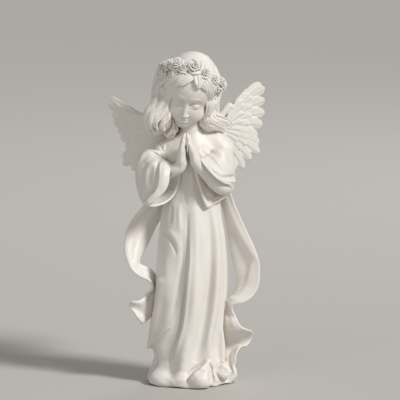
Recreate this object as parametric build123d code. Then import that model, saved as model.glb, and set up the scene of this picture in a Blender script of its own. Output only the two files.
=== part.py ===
from build123d import *
import math
import os

# Cast-resin praying angel statuette, built as the workshop builds it: a hollow
# gown casting, a head casting with a rose wreath, two bell sleeves, two
# forearms with hands, two wings and two sash streamers, all held by dowels and
# glue, closed underneath by a plug and a felt pad.
# Millimetres. +Z up, the angel faces -Y, origin at the centre of the felt pad's
# underside. "left" and "right" are the angel's own: her right arm is at -X.

# ------------------------------------------------------------ driving sizes
HEM_Z = 0.6                 # the hem stands this far above the table, on the pad
PAD_T = 1.4                 # felt pad thickness
PAD_RX, PAD_RY = 19.5, 15.0
PLUG_T = 3.0                # closing plug in the mouth of the cavity
PLUG_RX, PLUG_RY = 16.5, 12.0
NECK_PIN_R, NECK_PIN_L = 1.5, 16.0
WING_PIN_R, WING_PIN_L = 1.0, 9.0
SMALL_PIN_R, SMALL_PIN_L = 0.8, 6.0
HEAD_C = (-1.7, -6.0, 178.2)
HEAD_PITCH, HEAD_ROLL = 24.0, 11.0
WREATH_C, WREATH_RX, WREATH_RY = (-0.8, -5.0, 183.3), 16.0, 17.2
WREATH_TILT, WREATH_ROLL = 27.0, 13.5
RIBBON_T = 1.7
WING_T = 2.6


def wall(points):
    return Wire([Spline([Vector(*p) for p in points], periodic=True)])


def loft_points(sections):
    return Solid.make_loft([wall(s) for s in sections])


def ellipsoid(c, r, rot=(0, 0, 0)):
    return Pos(*c) * Rot(*rot) * scale(Sphere(1.0), by=r)


def norm(v):
    n = math.sqrt(sum(x * x for x in v))
    return tuple(x / n for x in v)


def cross(a, b):
    return (a[1] * b[2] - a[2] * b[1], a[2] * b[0] - a[0] * b[2], a[0] * b[1] - a[1] * b[0])


def add(a, b, k=1.0):
    return tuple(x + k * y for x, y in zip(a, b))


def rod(a, b, r):
    d = tuple(y - x for x, y in zip(a, b))
    length = math.sqrt(sum(x * x for x in d))
    return Solid.make_cylinder(r, length, Plane(origin=a, z_dir=norm(d)))


def tapered(a, b, ra, rb):
    d = tuple(y - x for x, y in zip(a, b))
    length = math.sqrt(sum(x * x for x in d))
    return Solid.make_cone(ra, rb, length, Plane(origin=a, z_dir=norm(d)))


# ------------------------------------------------------------ gown and torso
# height, centre x, centre y, half width, half depth, fold depth
GOWN = [
    (HEM_Z, -0.2, 0.0, 24.2, 20.2, 3.2),
    (4.0, -0.2, 0.0, 24.6, 20.6, 3.4),
    (10.0, -1.4, -0.2, 22.6, 19.2, 3.2),
    (17.0, -2.8, -0.3, 21.0, 17.8, 3.0),
    (30.0, -3.3, -0.5, 20.8, 17.2, 2.8),
    (44.0, -2.3, -0.6, 21.0, 17.0, 2.7),
    (60.0, -1.0, -0.8, 20.8, 16.6, 2.5),
    (76.0, -0.5, -0.8, 20.2, 15.8, 2.1),
    (90.0, -0.5, -0.6, 19.0, 14.8, 1.6),
    (102.0, -0.8, -0.2, 17.6, 13.4, 1.1),
    (114.0, -0.9, 0.4, 16.8, 12.6, 0.5),
    (126.0, -0.9, 0.8, 17.2, 12.0, 0.2),
    (136.0, -0.9, 1.0, 17.6, 11.0, 0.0),
    (143.5, -0.9, 0.8, 15.6, 9.6, 0.0),
    (148.5, -1.0, 0.2, 10.6, 8.0, 0.0),
    (152.0, -1.2, -0.6, 7.2, 6.6, 0.0),
]
# folds: where each crest runs as (height, degrees round the gown, 0 at +X towards +Y), its width and its share of the depth
CRESTS = [
    (((0, -118), (17, -112), (35, -98), (50, -88), (102, -84)), 11, 1.0),
    (((0, -78), (10, -76), (25, -64), (45, -45), (60, -36), (102, -34)), 10, 1.0),
    (((0, -44), (20, -42), (50, -28), (102, -12)), 8, 0.85),
    (((0, -152), (20, -152), (50, -146), (70, -141), (102, -140)), 14, 0.95),
    (((0, -180), (30, -178), (102, -172)), 9, 0.85),
    (((0, -14), (40, -4), (102, 8)), 9, 0.85),
    (((0, 14), (102, 26)), 8, 0.85),
    (((0, 40), (102, 46)), 9, 1.0),
    (((0, 65), (102, 66)), 8, 0.85),
    (((0, 90), (102, 86)), 9, 1.0),
    (((0, 115), (102, 108)), 9, 0.85),
    (((0, 138), (102, 130)), 8, 1.0),
    (((0, 160), (102, 156)), 8, 0.85),
]
N_ROUND = 80


def along(track, z):
    if z <= track[0][0]:
        return track[0][1]
    for (z0, a0), (z1, a1) in zip(track, track[1:]):
        if z <= z1:
            return a0 + (a1 - a0) * (z - z0) / (z1 - z0)
    return track[-1][1]


def gown_radius(a, z, half_w, half_d, depth):
    n = 2.25
    c, s = abs(math.cos(a)), abs(math.sin(a))
    r = ((c / half_w) ** n + (s / half_d) ** n) ** (-1.0 / n)
    bump = 0.0
    for track, width, share in CRESTS:
        d = (math.degrees(a) - along(track, z) + 180) % 360 - 180
        bump = max(bump, share * math.exp(-((d / width) ** 2)))
    return r + depth * (bump - 0.5)


def gown_section(row):
    z, cx, cy, w, d, f = row
    pts = []
    for i in range(N_ROUND):
        a = 2 * math.pi * i / N_ROUND
        r = gown_radius(a, z, w, d, f)
        pts.append((cx + r * math.cos(a), cy + r * math.sin(a), z))
    return pts


gown_outer = loft_points([gown_section(r) for r in GOWN])
CAVITY = [(HEM_Z - 1.0, 0, 0, PLUG_RX, PLUG_RY), (HEM_Z + PLUG_T + 2.0, 0, 0, PLUG_RX, PLUG_RY),
          (22.0, -1.6, -0.4, 16.0, 12.6), (45.0, -1.8, -0.6, 15.6, 12.0), (70.0, -0.8, -0.8, 14.8, 10.8),
          (90.0, -0.6, -0.6, 12.6, 9.0), (102.0, -0.8, -0.2, 8.0, 6.0)]
cavity = loft_points([[(cx + w * math.cos(2 * math.pi * i / 24), cy + d * math.sin(2 * math.pi * i / 24), z)
                       for i in range(24)] for z, cx, cy, w, d in CAVITY])

# ------------------------------------------------------------ bell sleeves
# centre, way the sleeve runs, way "up" in the loop, reach up, reach down, reach to each side


def loop(c, run, up, ru, rd, rs1, rs2, n=20, power=2.0):
    run = norm(run)
    side = norm(cross(run, up))
    up2 = norm(cross(side, run))
    pts = []
    for i in range(n):
        t = 2 * math.pi * i / n
        ct, st = math.cos(t), math.sin(t)
        ku = (ru if st > 0 else rd) * math.copysign(abs(st) ** (2 / power), st)
        ks = (rs1 if ct > 0 else rs2) * math.copysign(abs(ct) ** (2 / power), ct)
        pts.append(add(add(c, up2, ku), side, ks))
    return pts


# an upper arm (shoulder, elbow, their radii) and then the bell's three sections
RIGHT_UPPER = ((-12.6, 1.0, 141.0), (-21.0, -3.4, 130.6), 7.2, 10.0)
LEFT_UPPER = ((11.2, 1.0, 141.0), (18.2, -3.6, 130.2), 7.2, 8.6)
RIGHT_BELL = [
    ((-21.4, -2.6, 129.0), (0.0, -1.0, -0.1), (0, 0, 1), 9.6, 11.0, 9.4, 8.8),
    ((-22.0, -9.6, 125.6), (0.15, -0.95, -0.1), (0, 0, 1), 11.0, 14.6, 10.2, 9.4),
    ((-18.6, -17.4, 123.4), (0.5, -0.85, -0.05), (0, 0, 1), 11.4, 15.2, 9.4, 9.0),
]
LEFT_BELL = [
    ((18.2, -2.8, 128.6), (0.0, -1.0, -0.1), (0, 0, 1), 8.6, 10.4, 8.2, 8.2),
    ((18.2, -9.2, 125.0), (-0.2, -0.95, -0.1), (0.1, 0, 1), 9.8, 13.2, 8.8, 8.4),
    ((14.8, -16.4, 123.4), (-0.5, -0.85, -0.05), (-0.15, 0, 1), 11.6, 14.0, 8.8, 8.4),
]


def bell_solid(upper, bell):
    """Upper sleeve and flared bell of one arm, as one outer form."""
    a, b, ra, rb = upper
    return tapered(a, b, ra, rb) + Pos(*a) * Sphere(ra) + Pos(*b) * Sphere(rb) + loft_points([loop(*l) for l in bell])


def bell_hollow(bell):
    """The bell's inside: open past the cuff, closing in front of the elbow."""
    a, b, c = bell

    def shrunk(l, k, shift=0.0):
        centre, run, up, ru, rd, s1, s2 = l
        return loop(add(centre, norm(run), shift), run, up, ru * k, rd * k, s1 * k, s2 * k)

    return loft_points([shrunk(a, 0.40, 3.0), shrunk(b, 0.76), shrunk(c, 0.86, 1.5)])


# ------------------------------------------------------------ forearms and hands
PALM_PLANE_X = -2.8         # the hands meet on this plane
R_ELBOW, R_WRIST = (-23.4, -4.8, 126.6), (-7.6, -19.6, 133.4)
L_ELBOW, L_WRIST = (19.4, -5.2, 121.4), (2.0, -19.4, 133.6)


def hand(side, wrist, elbow):
    """Forearm, palm, four fingers and thumb of one hand; side is -1 for the right hand and 1 for the left."""
    p = PALM_PLANE_X + side * 0.05
    r_elbow = 4.6 if side > 0 else 4.2
    arm = tapered(elbow, wrist, r_elbow, 3.1) + Pos(*elbow) * Sphere(r_elbow)
    ball = Pos(*wrist) * Sphere(3.15)
    stations = [
        (wrist, 3.0, 3.3), ((p + side * 3.0, -20.4, 136.8), 2.2, 4.0), ((p + side * 2.4, -20.8, 140.4), 1.8, 4.3),
        ((p + side * 1.9, -21.2, 144.4), 1.5, 4.0), ((p + side * 1.5, -21.6, 148.6), 1.2, 3.2),
        ((p + side * 1.1, -21.9, 152.6), 0.8, 1.6),
    ]
    sections = []
    for c, thick, wide in stations:
        sections.append([(c[0] + thick * math.cos(2 * math.pi * i / 14), c[1] + wide * math.sin(2 * math.pi * i / 14), c[2])
                         for i in range(14)])
    mitt = loft_points(sections)
    thumb = tapered((p + side * 2.4, -17.6, 136.6), (p + side * 1.2, -16.6, 143.4), 1.6, 1.0) + Pos(p + side * 1.2, -16.6, 143.4) * Sphere(1.0)
    body = arm + ball + mitt + thumb
    keep = Pos(PALM_PLANE_X + side * 30.05, 0, 140) * Box(60, 120, 120)
    return body & keep


# ------------------------------------------------------------ sash streamers
def ribbon(edges, thick):
    """A flat band between two edge lines, thicker along its middle."""
    sections = []
    n = len(edges)
    for i, (a, b) in enumerate(edges):
        mid = tuple((x + y) / 2 for x, y in zip(a, b))
        j0, j1 = max(0, i - 1), min(n - 1, i + 1)
        m0 = tuple((x + y) / 2 for x, y in zip(*edges[j0]))
        m1 = tuple((x + y) / 2 for x, y in zip(*edges[j1]))
        run = norm(tuple(y - x for x, y in zip(m0, m1)))
        across = norm(tuple(y - x for x, y in zip(a, b)))
        face = norm(cross(run, across))
        h = thick / 2
        sections.append(Wire.make_polygon([
            Vector(*add(a, face, h * 0.55)), Vector(*add(mid, face, h)), Vector(*add(b, face, h * 0.55)),
            Vector(*add(b, face, -h * 0.55)), Vector(*add(mid, face, -h)), Vector(*add(a, face, -h * 0.55))], close=True))
    return Solid.make_loft(sections)


RIGHT_RIBBON = [
    ((-27.4, 5.0, 112.6), (-14.5, 9.5, 113.2)),
    ((-33.2, 4.2, 101.6), (-18.6, 7.6, 99.5)),
    ((-38.6, 3.4, 94.8), (-23.6, 6.2, 92.0)),
    ((-40.6, 1.6, 83.6), (-26.4, 4.4, 84.0)),
    ((-40.6, -1.0, 75.4), (-29.6, 2.8, 78.6)),
    ((-39.0, -3.4, 69.0), (-32.0, 0.6, 73.6)),
    ((-35.8, -4.6, 65.4), (-31.2, -0.2, 71.2)),
    ((-30.6, -4.4, 63.4), (-27.2, 0.4, 69.4)),
    ((-25.4, -2.2, 60.6), (-23.2, 2.6, 66.2)),
    ((-24.8, 0.4, 55.4), (-21.6, 4.6, 58.6)),
    ((-27.4, 1.4, 51.0), (-21.8, 4.4, 47.0)),
    ((-32.6, 0.2, 49.6), (-25.2, 1.4, 40.6)),
    ((-37.6, -1.2, 49.4), (-30.8, -1.6, 36.0)),
]
LEFT_RIBBON = [
    ((21.6, 2.6, 115.0), (14.4, 8.6, 110.0)),
    ((24.2, 1.6, 107.4), (18.2, 7.6, 104.0)),
    ((27.4, 0.4, 97.4), (19.8, 6.8, 95.4)),
    ((32.0, -1.4, 88.2), (20.6, 6.0, 86.6)),
    ((36.6, -2.8, 79.8), (22.2, 5.0, 77.4)),
    ((39.2, -3.8, 72.0), (24.8, 4.0, 68.8)),
    ((39.8, -4.4, 64.8), (25.8, 3.2, 62.2)),
    ((38.8, -5.0, 57.2), (25.0, 2.6, 56.2)),
    ((35.4, -5.6, 52.8), (23.2, 1.8, 52.6)),
    ((30.6, -5.6, 49.0), (21.4, 1.2, 50.4)),
    ((26.0, -4.4, 47.4), (19.8, 0.4, 48.4)),
    ((26.4, -3.2, 43.0), (18.0, -1.4, 43.6)),
    ((28.6, -2.6, 37.0), (18.8, -3.2, 37.6)),
    ((33.0, -4.0, 34.0), (20.6, -1.0, 33.4)),
    ((35.8, -2.8, 29.2), (21.0, 0.6, 27.6)),
    ((34.6, 0.2, 23.8), (20.6, -1.2, 22.2)),
    ((29.6, -1.6, 20.6), (20.2, 0.4, 18.0)),
    ((26.0, -2.6, 14.8), (20.2, 0.2, 12.8)),
    ((24.6, -2.0, 8.6), (20.6, 0.6, 7.4)),
]

# ------------------------------------------------------------ wings
# outlines seen from the front (x, z); each wing curves back behind the shoulder
LEFT_WING = [
    (9.0, 158.0), (12.5, 160.7), (16.0, 162.3), (18.5, 164.4), (21.7, 166.7), (25.7, 165.6), (28.3, 168.6), (31.4, 171.8),
    (35.2, 175.3), (37.4, 177.1), (41.6, 176.8), (43.7, 173.8), (42.9, 170.1), (42.3, 167.6), (42.6, 165.0), (41.0, 161.8),
    (42.2, 159.2), (42.6, 156.6), (41.2, 153.2), (41.4, 151.1), (39.8, 147.6), (36.6, 144.6), (38.6, 141.8), (38.6, 139.2),
    (37.4, 137.2), (39.6, 134.9), (38.8, 132.4), (34.6, 131.4), (32.1, 130.0), (31.0, 126.8), (27.4, 125.4), (22.0, 125.4),
    (15.0, 127.0), (9.0, 131.0),
]
RIGHT_WING = [
    (-11.0, 156.0), (-18.0, 157.6), (-24.0, 157.6), (-30.0, 158.0), (-36.0, 159.0), (-39.6, 160.0), (-43.3, 162.8),
    (-46.7, 166.0), (-49.4, 167.6), (-51.4, 165.2), (-50.8, 161.2), (-49.0, 158.6), (-48.2, 156.0), (-47.4, 152.8),
    (-45.4, 150.3), (-44.7, 146.9), (-43.0, 143.0), (-40.6, 139.2), (-40.4, 135.6), (-41.8, 131.6), (-42.2, 127.6),
    (-40.2, 125.0), (-34.8, 124.1), (-28.0, 123.6), (-20.0, 125.0), (-11.0, 130.0),
]
# wing curve in plan: (distance from the middle, depth behind it)
LEFT_PLAN = [(6.0, 9.4), (14.0, 12.6), (24.0, 17.4), (34.0, 21.6), (46.0, 24.8)]
RIGHT_PLAN = [(6.0, 9.4), (14.0, 12.8), (24.0, 18.2), (36.0, 24.4), (54.0, 31.0)]


def curved_slab(plan, sign, front, back, z0=95.0, z1=190.0):
    """A standing sheet that follows the wing's plan curve, between two offsets from it."""
    def line(off):
        return [Vector(sign * x, y + off, z0) for x, y in plan]
    a = Spline(line(front))
    b = Spline(list(reversed(line(back))))
    w = Wire([a, Line(a @ 1, b @ 0), b, Line(b @ 1, a @ 0)])
    return Solid.extrude(Face(w), Vector(0, 0, z1 - z0))


def outline_prism(pts):
    w = Wire([Spline([Vector(x, -5, z) for x, z in pts], periodic=True)])
    return Solid.extrude(Face(w), Vector(0, 60, 0))


def wing(outline, plan, sign, root):
    blade = outline_prism(outline) & curved_slab(plan, sign, -WING_T / 2, WING_T / 2)

    def shrunk(k):
        rx, rz = root
        return [(rx + (x - rx) * k, rz + (z - rz) * k) for x, z in outline]

    coverts = outline_prism(shrunk(0.66)) & curved_slab(plan, sign, -WING_T / 2 - 1.3, 0.0)
    lesser = outline_prism(shrunk(0.40)) & curved_slab(plan, sign, -WING_T / 2 - 2.4, WING_T / 2 + 1.0)
    return blade + coverts + lesser


# ------------------------------------------------------------ head, hair and wreath
def head_frame():
    return Pos(*HEAD_C) * Rot(0, HEAD_ROLL, 0) * Rot(HEAD_PITCH, 0, 0)


HF = head_frame()
skull = HF * ellipsoid((0, 1.2, 4.7), (15.0, 17.2, 17.0))
face = HF * ellipsoid((0, -5.6, -7.0), (11.8, 11.6, 14.4))
nose = HF * ellipsoid((0, -16.8, -8.4), (1.5, 2.0, 2.4))
bang_right = HF * Pos(-6.2, -7.2, 7.2) * Rot(0, -34, 0) * scale(Sphere(1.0), by=(10.0, 9.0, 7.0))
bang_left = HF * Pos(6.0, -7.2, 7.4) * Rot(0, 36, 0) * scale(Sphere(1.0), by=(9.6, 9.0, 6.8))
neck = rod((-1.4, -3.6, 151.4), (-1.6, -4.6, 164.0), 6.2)
side_right = ellipsoid((-16.8, -3.4, 172.6), (6.4, 8.8, 13.0), (0, 14, 0))
low_right = ellipsoid((-21.4, -5.0, 158.6), (6.6, 7.0, 12.0), (0, 14, 0))
side_left = ellipsoid((11.4, -3.0, 170.4), (5.4, 8.6, 12.0), (0, -2, 0))
low_left = ellipsoid((9.8, -1.0, 158.4), (5.2, 7.2, 9.6), (0, 4, 0))
back_hair = ellipsoid((-1.8, 7.6, 167.0), (14.4, 9.6, 19.0), (-6, 0, 0))
head_all = skull + face + nose + bang_right + bang_left + neck + side_right + low_right + side_left + low_left + back_hair

# wreath band: a ring round the head, high in front and low behind
WF = Pos(*WREATH_C) * Rot(0, WREATH_ROLL, 0) * Rot(-WREATH_TILT, 0, 0)
band = WF * scale(Torus(1.0, 1.4 / WREATH_RX), by=(WREATH_RX, WREATH_RY, WREATH_RX))


def on_wreath(deg, out=0.0, up=0.0):
    a = math.radians(deg)
    return WF * Pos((WREATH_RX + out) * math.sin(a), -(WREATH_RY + out) * math.cos(a), up)


def rose(loc, r):
    """A domed rose with a cupped heart: outer whorl, inner whorl, bud."""
    outer = Solid.make_cone(r * 0.62, r, r * 0.55, Plane.XY)
    inner = Pos(0, 0, r * 0.55) * Solid.make_cone(r * 0.80, r * 0.55, r * 0.35, Plane.XY)
    bud = Pos(0, 0, r * 0.90) * Solid.make_cone(r * 0.40, r * 0.22, r * 0.22, Plane.XY)
    return loc * (outer + inner + bud)


LARGE = [(-1, 4.9, 0.4), (-36, 4.2, 0.3), (-74, 4.0, -0.2), (66, 3.9, -1.6), (112, 3.9, 0.0), (163, 3.9, 0.0), (-151, 3.9, 0.0)]
SMALL = [(-19.5, 3.1, -1.0), (-55, 3.1, 0.5), (21, 3.1, -1.2), (43, 3.1, -2.2), (89, 3.0, -0.8), (138, 3.0, 0.0), (-173, 2.9, 0.0), (-128, 3.0, 0.0), (-101, 2.9, 0.4)]
FACE_OUT = 8.0


def rose_at(deg, r, shift):
    a = math.radians(deg)
    place = on_wreath(deg, 1.0, 0.8 + shift)
    tip = Rot(0, 0, deg) * Rot(90 - FACE_OUT + 0.0, 0, 0)
    return rose(place * tip, r)


roses_large = [rose_at(d, r, u) for d, r, u in LARGE]
roses_small = [rose_at(d, r, u) for d, r, u in SMALL]


def leaf_at(deg, length, sign):
    place = on_wreath(deg, 1.9, -1.0) * Rot(0, 0, deg) * Rot(84, 0, 0) * Rot(0, 0, 24 * sign)
    w = length * 0.30
    pts = [(-w * 0.2, 0), (-w, -length * 0.42), (0, -length), (w, -length * 0.42), (w * 0.2, 0)]
    f = Face(Wire([Spline([Vector(x, y, 0) for x, y in pts]), Line((pts[-1][0], 0, 0), (pts[0][0], 0, 0))]))
    return place * Solid.extrude(f, Vector(0, 0, 0.9))


leaves = [leaf_at(d, l, s) for d, l, s in
          [(2, 5.2, 1), (-20, 4.4, -1), (-46, 4.6, 1), (27, 4.6, 1), (50, 4.4, -1), (73, 4.4, 1), (-76, 4.2, -1),
           (112, 4.6, 1), (-118, 4.6, -1), (150, 4.6, 1), (-154, 4.6, -1)]]

# ------------------------------------------------------------ dowels
neck_dowel = rod((-1.3, -2.6, 144.0), (-1.5, -4.2, 144.0 + NECK_PIN_L), NECK_PIN_R)
SHOULDER_PINS = [((-9.0, 1.2, 142.0), (-15.0, 0.4, 139.6)), ((7.6, 1.2, 142.0), (13.4, 0.4, 139.6))]
ELBOW_PINS = [((-23.2, -5.4, 126.8), (-20.6, -0.8, 128.8)), ((19.0, -6.0, 121.8), (18.4, -1.0, 125.2))]
WING_PINS_R = [((-9.0, 6.6, 149.0), (-12.6, 13.4, 149.8)), ((-9.0, 6.6, 139.0), (-12.6, 13.4, 139.4))]
WING_PINS_L = [((8.0, 6.6, 149.0), (11.6, 13.2, 149.8)), ((8.0, 6.6, 139.0), (11.6, 13.2, 139.4))]
RIBBON_PINS = [((-18.4, 4.6, 59.0), (-23.0, 3.0, 60.0)), ((17.4, 0.6, 46.6), (21.6, -0.8, 46.8))]


def pins(pairs, r):
    return [rod(a, b, r) for a, b in pairs]


shoulder_pins = pins(SHOULDER_PINS, SMALL_PIN_R)
elbow_pins = pins(ELBOW_PINS, SMALL_PIN_R)
wing_pins_r = pins(WING_PINS_R, WING_PIN_R)
wing_pins_l = pins(WING_PINS_L, WING_PIN_R)
ribbon_pins = pins(RIBBON_PINS, SMALL_PIN_R)

# ------------------------------------------------------------ fit the castings to each other
right_hand = hand(-1, R_WRIST, R_ELBOW)
left_hand = hand(1, L_WRIST, L_ELBOW)

right_bell, left_bell = bell_solid(RIGHT_UPPER, RIGHT_BELL), bell_solid(LEFT_UPPER, LEFT_BELL)
right_sleeve = right_bell - bell_hollow(RIGHT_BELL)
left_sleeve = left_bell - bell_hollow(LEFT_BELL)
right_wing = wing(RIGHT_WING, RIGHT_PLAN, -1, (-12.0, 143.0))
left_wing = wing(LEFT_WING, LEFT_PLAN, 1, (12.0, 143.0))
right_ribbon = ribbon(RIGHT_RIBBON, RIBBON_T)
left_ribbon = ribbon(LEFT_RIBBON, RIBBON_T)

head = head_all - gown_outer
right_sleeve = right_sleeve - gown_outer - head_all - right_hand
left_sleeve = left_sleeve - gown_outer - head_all - left_hand
right_hand = right_hand - gown_outer
left_hand = left_hand - gown_outer
right_wing = right_wing - gown_outer - head_all - right_bell
left_wing = left_wing - gown_outer - head_all - left_bell
right_ribbon = right_ribbon - gown_outer - right_bell - right_wing
left_ribbon = left_ribbon - gown_outer - left_bell - left_wing

band = band - head_all


def biggest(shape):
    return max(shape.solids(), key=lambda s: s.volume)


def less(shape, *tools):
    for t in tools:
        shape = shape - t
        if not shape or not shape.solids():
            return None
    return shape


plug_outer = loft_points([[(PLUG_RX * math.cos(2 * math.pi * i / 24), PLUG_RY * math.sin(2 * math.pi * i / 24), z)
                           for i in range(24)] for z in (HEM_Z + 0.4, HEM_Z + 0.4 + PLUG_T)])
pad = loft_points([[(PAD_RX * math.cos(2 * math.pi * i / 24), PAD_RY * math.sin(2 * math.pi * i / 24), z)
                    for i in range(24)] for z in (0.0, PAD_T)])
pad_recess = loft_points([[((PAD_RX + 0.3) * math.cos(2 * math.pi * i / 24), (PAD_RY + 0.3) * math.sin(2 * math.pi * i / 24), z)
                           for i in range(24)] for z in (-1.0, PAD_T)])
plug_outer = loft_points([[((PLUG_RX - 0.1) * math.cos(2 * math.pi * i / 24), (PLUG_RY - 0.1) * math.sin(2 * math.pi * i / 24), z)
                           for i in range(24)] for z in (PAD_T, PAD_T + PLUG_T)])

gown = less(gown_outer, cavity, pad_recess, neck_dowel, *shoulder_pins, *wing_pins_r, *wing_pins_l, *ribbon_pins)
head = less(head, neck_dowel)
right_sleeve = less(right_sleeve, *shoulder_pins, *elbow_pins)
left_sleeve = less(left_sleeve, *shoulder_pins, *elbow_pins)
right_hand = less(right_hand, elbow_pins[0])
left_hand = less(left_hand, elbow_pins[1])
right_wing = less(right_wing, *wing_pins_r)
left_wing = less(left_wing, *wing_pins_l)
right_ribbon = less(right_ribbon, ribbon_pins[0])
left_ribbon = less(left_ribbon, ribbon_pins[1])

# wreath pieces sit on each other and on the hair without sharing any space
def seated(shapes, *tools):
    """Every shape less whatever it sits on, kept as one clean solid each."""
    kept = []
    for shape in shapes:
        near = [t for t in tools if boxes_meet(shape, t)]
        rest = less(shape, *near)
        if rest and biggest(rest).volume > 0.5:
            kept.append(biggest(rest))
    return kept


def boxes_meet(a, b):
    p, q = a.bounding_box(), b.bounding_box()
    return all(u <= v for u, v in zip(tuple(p.min), tuple(q.max))) and all(u <= v for u, v in zip(tuple(q.min), tuple(p.max)))


large_cut = seated(roses_large, head_all, band)
small_cut = seated(roses_small, head_all, band, *large_cut)
leaf_cut = seated(leaves, head_all, band, *large_cut, *small_cut)

NODES = {
    "gown_body": [biggest(gown)],
    "head_with_hair": [biggest(head)],
    "wreath_band": band.solids(),
    "wreath_large_roses": large_cut,
    "wreath_small_roses": small_cut,
    "wreath_leaves": leaf_cut,
    "right_sleeve": [biggest(right_sleeve)],
    "left_sleeve": [biggest(left_sleeve)],
    "right_hand": [biggest(right_hand)],
    "left_hand": [biggest(left_hand)],
    "right_wing": [biggest(right_wing)],
    "left_wing": [biggest(left_wing)],
    "right_sash_streamer": [biggest(right_ribbon)],
    "left_sash_streamer": [biggest(left_ribbon)],
    "neck_dowel": [neck_dowel],
    "shoulder_dowels": shoulder_pins,
    "elbow_dowels": elbow_pins,
    "right_wing_dowels": wing_pins_r,
    "left_wing_dowels": wing_pins_l,
    "sash_dowels": ribbon_pins,
    "base_plug": [plug_outer],
    "felt_pad": [pad],
}

os.makedirs("parts", exist_ok=True)
for name, solids in NODES.items():
    shape = solids[0] if len(solids) == 1 else Compound(children=list(solids))
    export_step(shape, f"parts/{name}.step")
    print(name, len(solids), round(sum(s.volume for s in solids), 1))
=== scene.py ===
import bpy
import math
import numpy as np
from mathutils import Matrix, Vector


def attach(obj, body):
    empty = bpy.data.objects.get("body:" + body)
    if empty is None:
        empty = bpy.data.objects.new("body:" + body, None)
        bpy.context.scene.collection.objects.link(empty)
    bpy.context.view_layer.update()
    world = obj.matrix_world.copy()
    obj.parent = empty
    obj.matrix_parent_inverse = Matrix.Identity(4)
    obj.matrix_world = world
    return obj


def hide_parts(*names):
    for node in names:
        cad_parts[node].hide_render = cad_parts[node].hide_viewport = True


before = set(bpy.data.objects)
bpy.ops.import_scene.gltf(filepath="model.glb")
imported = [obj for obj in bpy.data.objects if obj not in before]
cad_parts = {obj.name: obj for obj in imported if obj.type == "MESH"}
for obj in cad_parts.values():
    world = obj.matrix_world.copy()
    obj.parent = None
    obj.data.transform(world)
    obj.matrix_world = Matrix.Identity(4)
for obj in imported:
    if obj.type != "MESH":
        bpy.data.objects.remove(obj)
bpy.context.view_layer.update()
RNG = np.random.default_rng(20)

# Everything below is modelled in millimetres in the row frame and scaled to metres as each piece is made.
# u, v are millimetres in the front view: u is X, v is height in a view from 9 degrees above.
EL = math.radians(9.0)
CE, SE = math.cos(EL), math.sin(EL)
TO_EYE = np.array([0.0, -CE, SE])


# ------------------------------------------------------------------ number tools
def spline(P, n, closed=False):
    """n points on the Catmull-Rom curve through P; P may carry extra dimensions."""
    P = np.asarray(P, float)
    m = len(P)
    if closed:
        t = np.arange(n) / n * m
        i = np.floor(t).astype(int)
        f = t - i
        idx = [(i + k) % m for k in (-1, 0, 1, 2)]
        Q = [P[j] for j in idx]
    else:
        ext = np.concatenate([2 * P[:1] - P[1:2], P, 2 * P[-1:] - P[-2:-1]])
        t = np.linspace(0, m - 1, n)
        i = np.minimum(np.floor(t).astype(int), m - 2)
        f = t - i
        Q = [ext[i + k] for k in (0, 1, 2, 3)]
    f = f.reshape((-1,) + (1,) * (P.ndim - 1))
    a, b, c, d = Q
    return 0.5 * (2 * b + (c - a) * f + (2 * a - 5 * b + 4 * c - d) * f ** 2 + (3 * b - a - 3 * c + d) * f ** 3)


def unit(v):
    return v / np.maximum(np.linalg.norm(v, axis=-1, keepdims=True), 1e-9)


def rot(ax, deg):
    a = math.radians(deg)
    c, s = math.cos(a), math.sin(a)
    return {"x": np.array([[1, 0, 0], [0, c, -s], [0, s, c]]),
            "y": np.array([[c, 0, s], [0, 1, 0], [-s, 0, c]]),
            "z": np.array([[c, -s, 0], [s, c, 0], [0, 0, 1]])}[ax]


def frames(P):
    """Tangent and a twist-free side vector along a polyline."""
    T = unit(np.gradient(P, axis=0))
    ref = np.array([0.0, 0.0, 1.0]) if abs(T[0][2]) < 0.9 else np.array([0.0, 1.0, 0.0])
    s = unit(np.cross(T[0], ref))
    S = []
    for t in T:
        s = unit(s - t * np.dot(s, t))
        S.append(s)
    return T, np.array(S)


# ------------------------------------------------------------------ meshes as (verts, quads, tris)
NO_T = np.zeros((0, 3), int)


def volume_of(v, q, t):
    tri = np.concatenate([q[:, [0, 1, 2]], q[:, [0, 2, 3]], t]) if len(q) else t
    a, b, c = v[tri[:, 0]], v[tri[:, 1]], v[tri[:, 2]]
    return float(np.einsum("ij,ij->i", a, np.cross(b, c)).sum() / 6)


def outward(m):
    v, q, t = m
    if volume_of(v, q, t) < 0:
        return v, q[:, ::-1], t[:, ::-1]
    return m


def skin(rings, closed_ends=True):
    """A closed shell through rings of points, (rings, points, 3)."""
    rings = np.asarray(rings, float)
    n, k = rings.shape[:2]
    v = rings.reshape(-1, 3)
    i, j = np.meshgrid(np.arange(n - 1), np.arange(k), indexing="ij")
    j2 = (j + 1) % k
    q = np.stack([i * k + j, i * k + j2, (i + 1) * k + j2, (i + 1) * k + j], -1).reshape(-1, 4)
    t = NO_T
    if closed_ends:
        v = np.concatenate([v, rings[0].mean(0)[None], rings[-1].mean(0)[None]])
        a, b, jj = n * k, n * k + 1, np.arange(k)
        t = np.concatenate([np.stack([np.full(k, a), (jj + 1) % k, jj], -1),
                            np.stack([np.full(k, b), (n - 1) * k + jj, (n - 1) * k + (jj + 1) % k], -1)])
    return outward((v, q, t))


def join(parts):
    V, Q, T, n = [], [], [], 0
    for v, q, t in parts:
        V.append(v)
        Q.append(q + n)
        T.append(t + n)
        n += len(v)
    return np.concatenate(V), np.concatenate(Q), np.concatenate(T)


def edges_of(q, t):
    e = [q[:, [0, 1]], q[:, [1, 2]], q[:, [2, 3]], q[:, [3, 0]]] if len(q) else []
    if len(t):
        e += [t[:, [0, 1]], t[:, [1, 2]], t[:, [2, 0]]]
    e = np.concatenate(e)
    return np.unique(np.sort(e, axis=1), axis=0)


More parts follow.
